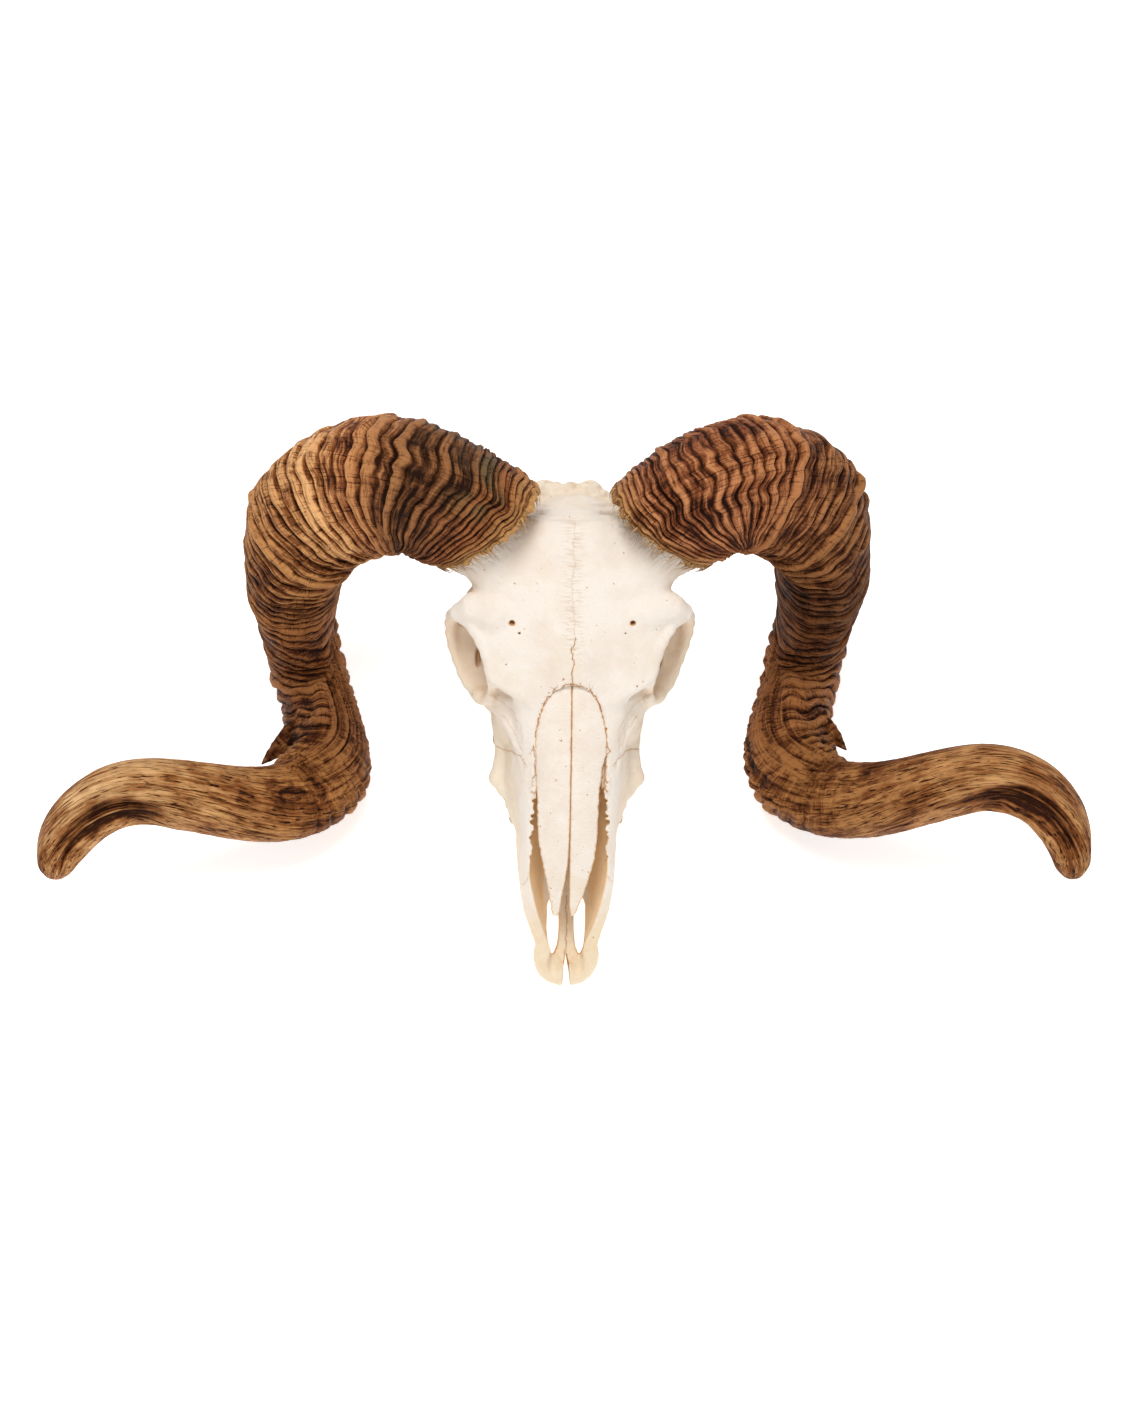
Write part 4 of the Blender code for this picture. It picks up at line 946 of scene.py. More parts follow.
def hornRelief(at, angle, seed):
    # angle 0 is the outer edge, positive towards the midline. With f the way from one furrow to the next,
    # a ring rises by 1-|2f-1|^2.4 times a height of its own that changes round the horn; finer lines run
    # between; the narrow part has two faces with a keel between them, and the rest has long grain
    rng = np.random.default_rng(seed)

    def drawn(low, high, share, bold, count):
        values = rng.uniform(low, high, count)
        values[rng.random(count) < share] = bold
        return values

    def uneven(turns, along, own):
        return rough(aroundHorn(angle, turns, along), seed + own)

    def threads(turns, along, own):
        return ridged(aroundHorn(angle, turns, along), seed + own)

    lengthAt, phaseAt = ringPhase(horn["phaseTo"])
    rings = int(phaseAt[-1]) + 3
    tall, furrow = drawn(*horn["tall"], rings), drawn(*horn["furrow"], rings + 1)
    neck = window(*horn["neck"], at)
    keelAt = curve(horn["keel"], at)
    turned = (angle + 0.5) % (2 * np.pi) - 0.5
    away = turned - keelAt
    inward = smooth(keelAt, keelAt - 0.35, turned) * smooth(1.05, 1.35, turned) * neck

    # which ring each point is on, and how far through it
    shift = 0.8 * uneven(3.4, at / 9.0, 11) + 0.35 * uneven(8.0, at / 4.0, 12)
    shift = shift - horn["keelDrop"] * window(*horn["dropped"], at) * np.exp(-(away / 1.4) ** 2)
    n = np.interp(np.maximum(at + shift, 0), lengthAt, phaseAt)
    whole = np.floor(n).astype(int)
    f = (n - whole) ** 0.85
    high = curve(horn["height"], at)
    knob = 0.85 + 0.65 * uneven(3.4, whole * 5.71, 1)
    arch = 1 - np.abs(2 * f - 1) ** 2.4
    crest = arch * np.clip(tall[whole] * np.clip(knob, 0.3, 1.4), 0, 1.45)
    second = np.exp(-((f - 0.52 - 0.14 * uneven(2.0, whole * 1.9, 14)) / 0.06) ** 2)
    second = second * np.clip(0.5 + 1.3 * uneven(2.4, whole * 2.3, 15), 0, 1)
    nearest, which = np.minimum(f, 1 - f), np.where(f < 0.5, whole, whole + 1)
    groove = np.exp(-(nearest / 0.085) ** 2) * furrow[which] * (0.7 + 0.5 * uneven(2.5, whole * 3.3, 4))
    lines, fine = threads(2.2, n * 2.7, 2), uneven(4.5, n * 7.1, 3)
    bold = 0.72 + 0.28 * np.cos(angle - horn["knobsAt"])
    bold = bold + 0.5 * bump(angle, np.pi, 0.6) * window(60, 90, 180, 215, at)
    bold = bold * (1 - neck) + neck * 0.95 * (1 - 0.85 * inward)
    lift = high * (bold * (crest - 0.78) - (0.5 - 0.2 * neck) * groove + 0.14 * np.clip(lines, -0.4, 1) - 0.05)
    lift = lift - high * 0.20 * second + 0.14 * fine * smooth(400, 360, at) - 0.1

    # the keel, a row of knobs beside it, and long strands that snap on the face turned inwards
    keel = horn["keelHeight"] + horn["keelHeight"] * rough(stacked(n * 1.1, 0, 0), seed + 5)
    lift = lift + neck * np.exp(-(away / 0.2) ** 2) * keel
    knobs = np.abs(np.sin(np.pi * at / 9.5 + 0.8 * uneven(2.0, at / 14.0, 19))) ** 0.6
    lift = lift + neck * bump(angle, 1.35, 0.3) * (horn["knobHeight"] * knobs - 0.8)
    strands = threads(19.0, at / 75.0, 6)
    snaps = np.clip(threads(2.0, at / 11.0, 20) - 0.76, 0, 1)
    lift = lift + inward * (horn["strandDepth"] * np.clip(strands, -0.8, 1) - 0.8 - 2.4 * snaps)

    # the outer layer thickens towards its broken end
    breaks = horn["breaksAt"] + 16 * np.sin(angle + 0.6) + 5 * uneven(3.0, 0, 21)
    torn = bump(angle, horn["tornAt"], 0.9)
    swollen = smooth(breaks - 45, breaks - 3, at) * smooth(breaks + 0.7, breaks - 0.7, at)
    lift = lift + horn["layer"] * swollen * torn

    # grain with fissures and a few long cracks, shallower towards the point
    grainy = smooth(330, 372, at)
    fissures = np.clip(threads(19.0, at / 34.0, 8) - 0.55, 0, 1)
    cracks = np.clip(threads(9.0, at / 75.0, 22) - 0.72, 0, 1) * smooth(-0.1, 0.3, uneven(2.0, at / 20.0, 23))
    grain = uneven(19.0, at / 14.0, 9)
    split = (horn["fissures"] * fissures + horn["cracks"] * cracks) * (0.4 + 0.6 * smooth(520, 430, at))
    lift = lift + grainy * (horn["grain"] * grain - split)

    # the hollow under the point
    half, *run, depth = horn["hollow"]
    past = np.abs((angle - curve(horn["hollowAt"], at) + np.pi) % (2 * np.pi) - np.pi)
    hollow = smooth(half * 1.3, half * 0.5, past) * window(*run, at)
    grooves = uneven(17.0, at / 40.0, 10)
    lift = lift - depth * hollow + 0.9 * hollow * grooves

    # tone: dark in furrows, cracks and the hollow, light on crests, with patches that change slowly; the dark
    # in furrows is dirt with painted shade, the dark in the hollow is painted shade, and the light on crests is
    # paler horn with painted highlights
    patch = uneven(1.6, at / 22.0, 13)
    w = horn["tone"]
    # ring tops lighten with their height: paler horn with a painted highlight
    tone = w["level"] + w["arch"] * arch + w["crest"] * np.clip(crest, 0, 1.3) * (0.4 + 0.6 * bold)
    # furrows darken: dirt together with painted shade
    tone = tone - w["groove"] * groove + w["lines"] * lines + w["fine"] * fine + w["patch"] * patch
    tone = tone + w["tall"] * (tall[whole] - 0.95) - w["second"] * second
    tone = tone - 0.10 * smooth(62, 50, at)
    # a thin painted highlight line along each crest, left out from 72 to 140 mm
    tone = tone + w["edge"] * np.exp(-((f - 0.56) / 0.12) ** 2) * (1 - window(60, 72, 140, 155, at))
    tone = tone * (1 - inward) + inward * (0.62 + 0.45 * strands - 1.6 * snaps + 0.2 * patch)
    tone = tone - w["broken"] * np.exp(-((at - breaks) / 1.1) ** 2) * torn
    plain = 0.66 + 0.30 * patch + 0.16 * grain - 0.6 * fissures - 1.6 * cracks
    tone = np.where(high > 0.5, tone, 0.5) * (1 - grainy) + grainy * plain
    # the hollow under the point is painted darker, painted shade, less so where its grooves are high
    return lift, np.clip(tone - hollow * (0.62 - 0.55 * grooves), 0, 1)


def makeHorn(word, side, material, fibreLook):
    # rows of points along the centre line that swing to and fro, with a ragged edge at the skull
    line = HornLine(horn[word], side)
    makeFibres(word, side, line, fibreLook)
    seed, around, rows = horn["seeds"][word], horn["around"], hornRows(line.length)
    at, angle = np.meshgrid(rows, np.linspace(0, 2 * np.pi, around, endpoint=False), indexing="ij")
    swing = rough(aroundHorn(angle, 1.9, at / 42.0), seed)
    swing = swing + 0.42 * rough(aroundHorn(angle, 4.6, at / 18.0), seed + 7)
    moved = at + swing * curve(horn["wave"], at) * smooth(0, 8, at)
    ragged = rough(aroundHorn(angle[:1], 9.0, 0), seed + 18)
    moved = np.maximum(moved, 0.02 * at) + horn["rim"] * ragged * np.exp(-at / 3.0)
    moved = np.where(at > line.length - 20, at, moved)
    lift, tone = hornRelief(at, angle * -side, seed)
    points = onFloor(line.surface(moved, angle, lift).reshape(-1, 3))
    normals = pointNormals(points, tube(points, len(rows), around)[0])
    outward = np.einsum("ij,ij->", normals, points - line.pick(line.fine[:, :3], at).reshape(-1, 3)) > 0
    if not outward:
        normals = -normals
    half = line.pick(line.fine, at)[..., 3] / 2
    values = {
        "straight": aroundHorn(angle, half, at).reshape(-1, 3), "along": at.ravel() / line.length,
        "tone": tone.ravel(), "upper": smooth(-0.2, 0.5, np.cos(angle + side * 0.5)).ravel(),
    }
    ends = [0, *(int(np.searchsorted(rows, share * line.length)) for share in horn["cuts"]), len(rows) - 1]
    for section, first, last in zip(("base", "curl", "tip"), ends[:-1], ends[1:]):
        keep = slice(first * around, (last + 1) * around)
        sides, caps, body = tube(points[keep], last - first + 1, around)
        if not outward:
            sides, caps = sides[:, ::-1], caps[:, ::-1]
        local = {key: np.concatenate([v[keep], v[keep][:1], v[keep][-1:]]) for key, v in values.items()}
        ownNormals = [normals[keep], -line.pick(line.tangent, rows[first]), line.pick(line.tangent, rows[last])]
        thing = addMesh(f"horn_{word}_{section}_sheath", body, [sides, caps], np.vstack(ownNormals), local)
        finishPiece(thing, material, "horn", f"horn_{word}_{section}")
        print(thing.name, len(thing.data.polygons), "faces")


fibres = {
    "count": 300, "rows": 7, "around": 5, "reach": (2.5, 8.0), "radius": (0.14, 0.30), "seed": 90,
    "rooted": (0.5, 4.0),           # from the sheath's edge
    "curl": 1.8, "bend": 0.55, "taper": 0.75,
}


def makeFibres(word, side, line, material):
    # threads along the sheath's edge: a straight run towards the skull, bent inward and sideways by the
    # square of the way along it, with a round section that tapers
    rng = np.random.default_rng(fibres["seed"] + side)
    count, rows, around = fibres["count"], fibres["rows"], fibres["around"]
    turnAt = rng.uniform(0, 2 * np.pi, count)
    root = line.surface(rng.uniform(*fibres["rooted"], count), turnAt, np.full(count, -0.2))
    inward, back = unit(line.fine[0, :3] - root), -line.tangent[0]
    sideways = unit(np.cross(inward, back))
    reach = rng.uniform(*fibres["reach"], count)[:, None, None]
    t = np.linspace(0, 1, rows)[None, :, None]
    curl = rng.normal(0, fibres["curl"], count)[:, None, None]
    path = root[:, None, :] + back * reach * t + inward[:, None, :] * (fibres["bend"] * reach * t * t - 0.4)
    path = path + sideways[:, None, :] * curl * t * t
    thick = rng.uniform(*fibres["radius"], count)[:, None, None] * (1 - fibres["taper"] * t)
    a = np.linspace(0, 2 * np.pi, around, endpoint=False)[None, None, :, None]
    section = np.cos(a) * inward[:, None, None, :] + np.sin(a) * sideways[:, None, None, :]
    points = (path[:, :, None, :] + section * thick[..., None]).reshape(-1, 3)
    i, j, k = np.meshgrid(np.arange(count), np.arange(rows - 1), np.arange(around), indexing="ij")
    corner, beside = (i * rows + j) * around, (k + 1) % around
    faces = stacked(corner + k, corner + beside, corner + around + beside, corner + around + k).reshape(-1, 4)
    first = np.arange(count)[:, None] * rows * around + np.arange(around)[None, :]
    caps = np.concatenate([first[:, ::-1], first + (rows - 1) * around])
    faces, caps = turnedOut(points, faces, caps, np.repeat(path[:, :-1].reshape(-1, 3), around, axis=0))
    values = {"shade": np.repeat(rng.uniform(0, 1, count), rows * around)}
    thing = addMesh(f"horn_{word}_fibres", points, [faces, caps], None, values)
    finishPiece(thing, material, "horn")
    print(thing.name, len(thing.data.polygons), "faces")


flakes = {
    # rows of x, u, d and half width, from under the outer layer to the free point
    "left": [(-155, -48, -100, 8.5), (-163, -55, -97, 7.2), (-169.5, -60.7, -94.5, 5.2),
             (-175, -65.6, -92.5, 2.9), (-179.4, -70, -91, 0.4)],
    "right": [(140, -43, -100, 6.5), (145.5, -49, -98, 5.6), (150.5, -54.5, -95.5, 4.2), (154, -58.6, -93, 2.3),
              (156.9, -61.8, -91.5, 0.4)],
    "thick": 2.4, "rings": 90, "around": 48,
    "along": 0.6, "depthAt": (300, 40),     # share of the horn whose colours and grain it takes
}


def makeFlake(word, material):
    # pointed piece of the outer layer where it breaks off: a flat section carried along a curve, its
    # faces stepped like the rings
    rings, around = flakes["rings"], flakes["around"]
    path = spline(np.array(flakes[word], float), np.linspace(0, 1, rings))
    tangent = unit(np.gradient(path[:, :3], axis=0))
    across = unit(np.cross(tangent, np.array([0.0, 0.0, 1.0])))
    depth = np.cross(across, tangent)
    t = np.linspace(0, 1, rings)[:, None]
    a = np.linspace(0, 2 * np.pi, around, endpoint=False)[None, :]
    steps = rough(stacked(t * 9 + 0.8 * np.sin(a), 1.2 * np.cos(a), 0), 95)
    wide = np.maximum(path[:, 3:4], 0.3) * (1 + 0.10 * rough(stacked(t * 14, a * 1.5, 0), 96)) * np.cos(a)
    thick = flakes["thick"] * (1 - 0.6 * t) * (1 + 0.35 * steps) * np.sin(a)
    points = path[:, None, :3] + across[:, None, :] * wide[..., None] + depth[:, None, :] * thick[..., None]
    faces, caps, points = tube(points.reshape(-1, 3), rings, around)
    faces, caps = turnedOut(points, faces, caps)
    start, long = flakes["depthAt"]
    straight = stacked(wide, thick, start + long * t).reshape(-1, 3)
    values = {
        "straight": np.vstack([straight, straight[:2]]), "along": np.full(len(points), flakes["along"]),
        "tone": np.concatenate([(0.42 + 0.5 * steps).ravel(), [0.3, 0.3]]), "upper": np.zeros(len(points)),
    }
    thing = addMesh(f"horn_{word}_flake", points, [faces, caps], None, values)
    finishPiece(thing, material, "horn")
    print(thing.name, len(thing.data.polygons), "faces")


class Signal:
    # a node's output that is worked with like a number: a sum, difference or product adds a Math node
    def __init__(self, tree, socket):
        self.tree, self.socket = tree, socket

    def calc(self, operation, other=0.0, clamp=False):
        return put(self.tree, "Math", {0: self, 1: other}, operation=operation, use_clamp=clamp)

    def __add__(self, other):
        return self.calc("ADD", other)

    def __sub__(self, other):
        return self.calc("SUBTRACT", other)

    def __rsub__(self, other):
        return put(self.tree, "Math", {0: other, 1: self}, operation="SUBTRACT")

    def __mul__(self, other):
        return self.calc("MULTIPLY", other)

    def span(self, low, high, start=0.0, end=1.0):
        # low to high, stretched to start to end
        return put(self.tree, "MapRange", {0: self, 1: low, 2: high, 3: start, 4: end})

    def spots(self, scale, detail=3.0, roughness=0.5, distortion=0.0, stretch=None):
        # noise read at this place
        place = put(self.tree, "Mapping", {"Vector": self, "Scale": stretch}) if stretch else self
        return put(self.tree, "TexNoise", {"Vector": place, "Scale": scale, "Detail": detail,
                                           "Roughness": roughness, "Distortion": distortion})


def put(tree, kind, sockets=None, output=0, **settings):
    node = tree.nodes.new("ShaderNode" + kind)
    for key, value in settings.items():
        setattr(node, key, value)
    for key, value in (sockets or {}).items():
        if isinstance(value, Signal):
            tree.links.new(value.socket, node.inputs[key])
        else:
            node.inputs[key].default_value = value
    return Signal(tree, node.outputs[output])


def mix(share, a, b):
    # colour a where share is 0 and b where it is 1
    a, b = ((*q, 1.0) if isinstance(q, tuple) else q for q in (a, b))
    return put(share.tree, "Mix", {0: share, 6: a, 7: b}, 2, data_type="RGBA")


def named(tree, name, output="Fac"):
    return put(tree, "Attribute", output=output, attribute_name=name)


def newMaterial(name, roughness, shine=0.2):
    material = bpy.data.materials.new(name)
    material.use_nodes = True
    shader = material.node_tree.nodes["Principled BSDF"]
    shader.inputs["Roughness"].default_value = roughness
    shader.inputs["Specular IOR Level"].default_value = shine
    return material, material.node_tree, shader


def wire(shader, color, height=None, strength=1.0, distance=0.001):
    color.tree.links.new(color.socket, shader.inputs["Base Color"])
    if height is not None:
        bumps = put(color.tree, "Bump", {"Height": height, "Strength": strength, "Distance": distance})
        color.tree.links.new(bumps.socket, shader.inputs["Normal"])


boneLook = {
    "ivory": (0.86, 0.785, 0.70), "pink": (0.80, 0.69, 0.59), "cream": (0.80, 0.65, 0.48),
    "tan": (0.76, 0.53, 0.32), "ochre": (0.66, 0.36, 0.14), "seam": (0.50, 0.21, 0.065),
    "socket": (0.88, 0.70, 0.52), "wall": (1.0, 0.70, 0.37), "yellow": (0.84, 0.67, 0.43),
    "roughness": 0.6, "bump": (0.65, 0.0010), "nasalBump": (0.5, 0.0006),
}


def boneMaterial():
    look = boneLook
    material, tree, shader = newMaterial("dry bone", look["roughness"])
    place = put(tree, "TexCoord", output="Object")
    socket, rim, share = (named(tree, name) for name in ("socket", "rim", "seamShare"))
    color = mix(place.spots(38, 4, 0.6).span(0.45, 0.72), look["ivory"], look["pink"])
    color = mix(place.spots(24, 5, 0.62).span(0.52, 0.72) * 0.6, color, look["cream"])
    yellow = named(tree, "yellow").span(0, 1) * 0.7
    color = mix(yellow, color, look["yellow"])
    color = mix(place.spots(95, 4, 0.65).span(0.50, 0.68) * yellow * 0.55, color, look["tan"])
    # strokes across the midline of the forehead
    stroke = place.spots(1, 2, 0.6, 0, (150, 1000, 1000)).span(0.52, 0.68) * named(tree, "strokes")
    color = mix(stroke * 0.55, color, look["tan"])
    # the eye's socket is tan; recesses go tan and ochre, the bone's stain there together with painted shade;
    # and the nose's walls are orange
    color = mix(socket * 0.8, color, look["socket"])
    recessShade = (named(tree, "recessShade") + (place.spots(260, 4) - 0.5) * 0.35).span(0.34, 0.9)
    recessShade = recessShade * (1.0 - socket * 0.65)
    color = mix(recessShade * 0.7, color, look["tan"])
    color = mix(recessShade.span(0.45, 1.0) * 0.8, color, look["ochre"])
    soft = place.spots(90, 4, 0.6).span(0.3, 0.7).span(0, 1, 0.6, 1.0)
    color = mix(named(tree, "cavity") * soft, color, look["wall"])
    # seams: a thin jagged dark line with a stained fringe
    away = (named(tree, "seam") + (place.spots(620, 3, 0.7) - 0.5) * 1.8).calc("ABSOLUTE")
    line = away.span(0.34, 0.12).calc("MULTIPLY", share, True)
    color = mix(away.span(1.5, 0.2) * (share * 0.35), color, look["tan"])
    color = mix(line, color, look["seam"])
    # pores, close together on the horns' stumps, which are ridged towards the horns, and a few larger pits
    scarce = place.spots(120, 2).span(0.56, 0.68) * 0.45
    pore = place.spots(800, 2, 0.5).span(0.66, 0.72).calc("MULTIPLY", scarce + rim, True)
    color = mix(pore, color, look["ochre"])
    pits = place.spots(400, 1, 0.4).span(0.785, 0.80)
    color = mix(pits, color, look["seam"])
    stained = named(tree, "stump", "Vector").spots(1, 3, 0.6, 0.2, (0.9, 0.9, 0.10)).span(0.46, 0.62) * rim
    color = mix(stained * 0.65, color, look["tan"])
    height = place.spots(420, 6, 0.68) - pore * 0.8 - line * 0.9 - pits - stained - stroke * 0.5
    wire(shader, color, height, *look["bump"])
    return material


def nasalMaterial():
    look = boneLook
    material, tree, shader = newMaterial("nasal bone", look["roughness"])
    place = put(tree, "TexCoord", output="Object")
    color = mix(place.spots(60, 4, 0.6).span(0.4, 0.7), look["ivory"], look["pink"])
    crackle = place.spots(1, 4, 0.7, 0.5, (230, 1500, 1500))
    color = mix(crackle.span(0.52, 0.66) * 0.42, color, look["tan"])
    tipward = named(tree, "tipward") * place.spots(110, 3).span(0.3, 0.7)
    color = mix(tipward * 0.7, color, look["cream"])
    edge = (named(tree, "edge") + (place.spots(900, 3) - 0.5) * 1.3).span(0.85, 0.25)
    color = mix(edge * 0.75, color, look["ochre"])
    color = mix((1.0 - named(tree, "upper")) * 0.6, color, look["wall"])
    pits = place.spots(520, 1, 0.4).span(0.765, 0.79)
    color = mix(pits, color, look["seam"])
    wire(shader, color, crackle * -1.0 - pits, *look["nasalBump"])
    return material


toothLook = {
    "pale": (0.80, 0.74, 0.60), "brown": (0.45, 0.30, 0.15), "worn": (0.16, 0.08, 0.035), "roughness": 0.32,
    "bump": (0.25, 0.0005),
}


def toothMaterial():
    look = toothLook
    material, tree, shader = newMaterial("tooth", look["roughness"])
    place = put(tree, "TexCoord", output="Object")
    color = mix(place.spots(160, 4, 0.6).span(0.4, 0.65), look["pale"], look["brown"])
    color = mix(named(tree, "chew") * place.spots(420, 3).span(0.4, 0.6), color, look["worn"])
    wire(shader, color, place.spots(600, 3), *look["bump"])
    return material


def paint(red, green, blue):
    # screen values from 0 to 255 to the shader's linear ones
    shares = (q / 255 for q in (red, green, blue))
    return tuple(q / 12.92 if q < 11 / 255 else ((q + 0.055) / 1.055) ** 2.4 for q in shares)


hornLook = {
    # share of the length, then dark, middle and light there
    "left": [
        (0.00, (70, 42, 26), (150, 105, 66), (205, 165, 110)),
        (0.03, (62, 38, 27), (118, 76, 48), (158, 106, 68)),
        (0.09, (58, 42, 31), (110, 80, 54), (152, 110, 73)),
        (0.13, (62, 37, 27), (152, 101, 66), (212, 158, 108)),
        (0.17, (60, 35, 23), (168, 117, 70), (240, 198, 146)),
        (0.24, (56, 32, 19), (136, 91, 53), (204, 156, 104)),
        (0.32, (46, 27, 16), (116, 76, 43), (176, 130, 82)),
        (0.37, (44, 26, 17), (108, 68, 40), (166, 116, 72)),
        (0.42, (50, 30, 18), (118, 78, 46), (172, 124, 80)),
        (0.50, (48, 28, 18), (112, 72, 42), (164, 116, 72)),
        (0.60, (44, 26, 16), (100, 64, 38), (150, 106, 66)),
        (0.70, (56, 33, 18), (140, 95, 53), (196, 148, 92)),
        (0.82, (74, 44, 24), (172, 126, 78), (224, 186, 134)),
        (0.92, (78, 48, 28), (182, 138, 88), (232, 200, 154)),
        (1.00, (70, 38, 20), (150, 96, 54), (215, 172, 116)),
    ],
    "right": [
        (0.00, (72, 44, 28), (150, 108, 70), (200, 160, 108)),
        (0.03, (60, 36, 26), (146, 96, 66), (196, 142, 102)),
        (0.10, (60, 37, 25), (142, 93, 62), (190, 136, 94)),
        (0.15, (52, 31, 20), (114, 74, 47), (178, 128, 86)),
        (0.22, (44, 26, 16), (102, 65, 39), (162, 117, 75)),
        (0.32, (36, 22, 14), (76, 47, 28), (114, 77, 47)),
        (0.37, (38, 23, 14), (86, 53, 32), (132, 90, 55)),
        (0.45, (44, 26, 16), (108, 69, 41), (164, 116, 74)),
        (0.55, (44, 26, 16), (106, 68, 40), (160, 112, 70)),
        (0.64, (46, 28, 16), (112, 74, 42), (162, 118, 72)),
        (0.74, (56, 34, 19), (142, 97, 57), (194, 148, 96)),
        (0.85, (70, 42, 24), (164, 118, 72), (214, 172, 120)),
        (1.00, (66, 38, 22), (152, 104, 62), (215, 174, 122)),
    ],
    "green": paint(104, 92, 62), "greenDark": paint(36, 32, 22), "fibre": paint(196, 150, 96),
    "fibreDark": paint(132, 88, 48), "fibreLight": paint(214, 172, 118),
    "tints": ((0.62, 0.43, 0.33), (0.84, 0.60, 0.45), (1.08, 0.92, 0.78)),
    "roughness": 0.5, "shine": 0.07, "bump": (0.9, 0.0018), "fibreRoughness": 0.6,
}


def colorsAlong(along, rows, which):
    # a ramp through one of the three colours of each row
    ramp = put(along.tree, "ValToRGB", {0: along})
    stops = ramp.socket.node.color_ramp.elements
    while len(stops) < len(rows):
        stops.new(0.5)
    for stop, row in zip(stops, rows):
        stop.position = row[0]
        tint = hornLook["tints"][which - 1]
        stop.color = (*(q * t for q, t in zip(paint(*row[which]), tint)), 1)
    return ramp


def hornMaterial(word):
    look = hornLook
    material, tree, shader = newMaterial("horn sheath " + word, look["roughness"], look["shine"])
    straight, along, upper = named(tree, "straight", "Vector"), named(tree, "along"), named(tree, "upper")
    ringed = along.span(0.72, 0.60)
    lines = straight.spots(1, 5, 0.65, 0.4, (0.10, 0.10, 1.1))          # round the horn
    grain = straight.spots(1, 5, 0.7, 0.5, (0.9, 0.9, 0.07))            # along it
    blotch = straight.spots(1, 4, 0.6, 0.2, (0.09, 0.09, 0.09))
    scratch = straight.spots(1, 3, 0.6, 0.1, (1.0, 1.0, 0.16))
    # short dark dashes along the horn, and dark blots between the bend and the point
    dashes = straight.spots(1, 2, 0.5, 0.3, (1.4, 1.4, 0.12)).span(0.58, 0.66) * ringed.span(0, 1, 0.6, 0.34)
    blots = straight.spots(1, 4, 0.65, 1.5, (0.10, 0.10, 0.05)).span(0.52, 0.66)
    blots = blots * along.span(0.56, 0.64) * along.span(0.84, 0.72)
    fineTone = (lines - 0.5) * (ringed * 2.1) + (grain - 0.5) * ringed.span(0, 1, 0.75, 0.3)
    fineTone = fineTone - dashes - blots * 0.42 + (blotch - 0.5) * 0.95 + (scratch - 0.5) * 0.25
    # the tone attribute carries the rings' colour with painted shade in furrows and the hollow, and painted
    # highlights on the crests
    shade = named(tree, "tone") + fineTone
    dark, middle, light = (colorsAlong(along, look[word], which) for which in (1, 2, 3))
    color = mix(shade.span(0.02, 0.42), dark, middle)
    color = mix(shade.span(0.42, 0.92), color, light)
    if word == "left":
        band = along.span(0.012, 0.03) * along.span(0.082, 0.055) * upper
        band = band * straight.spots(1, 3, 0.5, 0, (0.04, 0.04, 0.10)).span(0.40, 0.52)
        color = mix(band * 0.75, color, mix(shade.span(0.1, 0.7), look["greenDark"], look["green"]))
    # the edge at the skull frays into tan fibres
    frayed = straight.spots(1, 4, 0.6, 0.6, (0.8, 0.8, 0.12))
    edge = (along + (frayed - 0.5) * 0.028).span(0.014, 0.003) * frayed.span(0.3, 0.6, 0.4, 0.9)
    color = mix(edge * upper.span(0, 1, 1.0, 0.25), color, look["fibre"])
    height = lines * ringed + scratch * 0.5 - dashes + grain * ringed.span(0, 1, 1.2, 0.2)
    wire(shader, color, height, *look["bump"])
    return material


def fibreMaterial():
    material, tree, shader = newMaterial("horn fibres", hornLook["fibreRoughness"])
    shade = named(tree, "shade") + (put(tree, "TexCoord", output="Object").spots(700, 3) - 0.5)
    wire(shader, mix(shade.span(0.1, 0.9), hornLook["fibreDark"], hornLook["fibreLight"]))
    return material


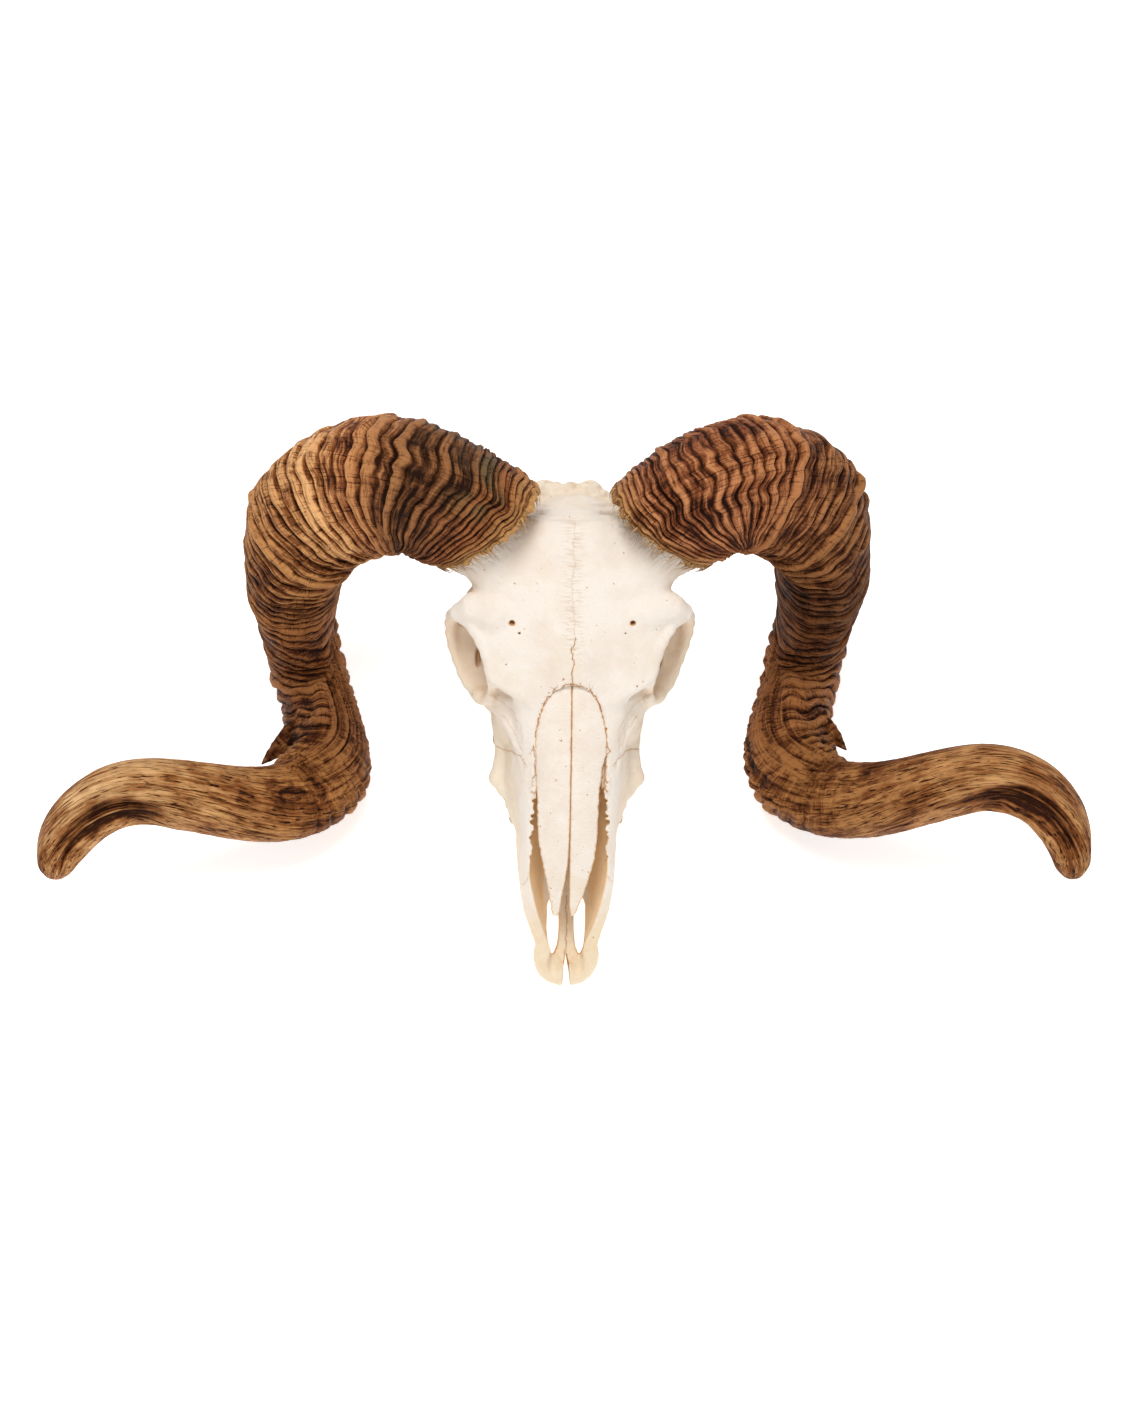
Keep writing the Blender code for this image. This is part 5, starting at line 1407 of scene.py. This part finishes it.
studio = {
    "floor": (0.95, 0.95, 0.95), "floorHalf": 30.0, "floorRoughness": 0.9, "glow": 0.60,
    "sky": 0.52, "skyColor": (1.0, 0.99, 0.975, 1),
    # place in metres, watts and width
    "lights": {"key": ((-0.2, -0.1, 2.55), 40.0, 1.1), "fill": ((1.6, -0.6, 1.6), 3.5, 2.0)},
    # the camera looks along d from here, in millimetres of the skull's frame
    "eye": (-7.3, -33.6, 2000.0), "lens": 62.25, "sensor": 24.0, "clip": 50.0,
}


def addThing(name, data):
    thing = bpy.data.objects.new(name, data)
    bpy.context.scene.collection.objects.link(thing)
    return thing


def makeStudio():
    # a wide floor, an even sky with two soft lights, and a camera that looks down on the face
    far = studio["floorHalf"]
    mesh = bpy.data.meshes.new("floor")
    mesh.from_pydata([(-far, -far, 0), (far, -far, 0), (far, far, 0), (-far, far, 0)], [], [(0, 1, 2, 3)])
    floor = addThing("floor", mesh)
    material, _, shader = newMaterial("pale floor", studio["floorRoughness"])
    shader.inputs["Base Color"].default_value = (*studio["floor"], 1)
    shader.inputs["Emission Color"].default_value = (1, 1, 1, 1)
    shader.inputs["Emission Strength"].default_value = studio["glow"]
    mesh.materials.append(material)
    world = bpy.data.worlds.new("studio")
    world.use_nodes = True
    background = world.node_tree.nodes["Background"]
    background.inputs[0].default_value = studio["skyColor"]
    background.inputs[1].default_value = studio["sky"]
    bpy.context.scene.world = world
    for name, (place, power, wide) in studio["lights"].items():
        light = bpy.data.lights.new(name, "AREA")
        light.energy, light.size = power, wide
        lamp = addThing(name, light)
        lamp.location = place
        lamp.rotation_euler = (-lamp.location.normalized()).to_track_quat("-Z", "Y").to_euler()
    camera = bpy.data.cameras.new("camera")
    camera.sensor_fit, camera.sensor_height, camera.lens = "VERTICAL", studio["sensor"], studio["lens"]
    camera.clip_end = studio["clip"]
    eye = addThing("camera", camera)
    eye.location = toWorld(np.array([studio["eye"]]))[0]
    eye.rotation_euler = (math.radians(rest["pitch"]), math.radians(rest["roll"]), 0.0)
    bpy.context.scene.camera = eye
    bpy.context.scene.view_settings.view_transform = "Standard"
    print("studio done")


makeStudio()
makeBone(boneMaterial())
makeNasals(nasalMaterial())
makeTeeth(toothMaterial())
threadLook = fibreMaterial()
for word, side in (("left", -1), ("right", 1)):
    sheath = hornMaterial(word)
    makeHorn(word, side, sheath, threadLook)
    makeFlake(word, sheath)
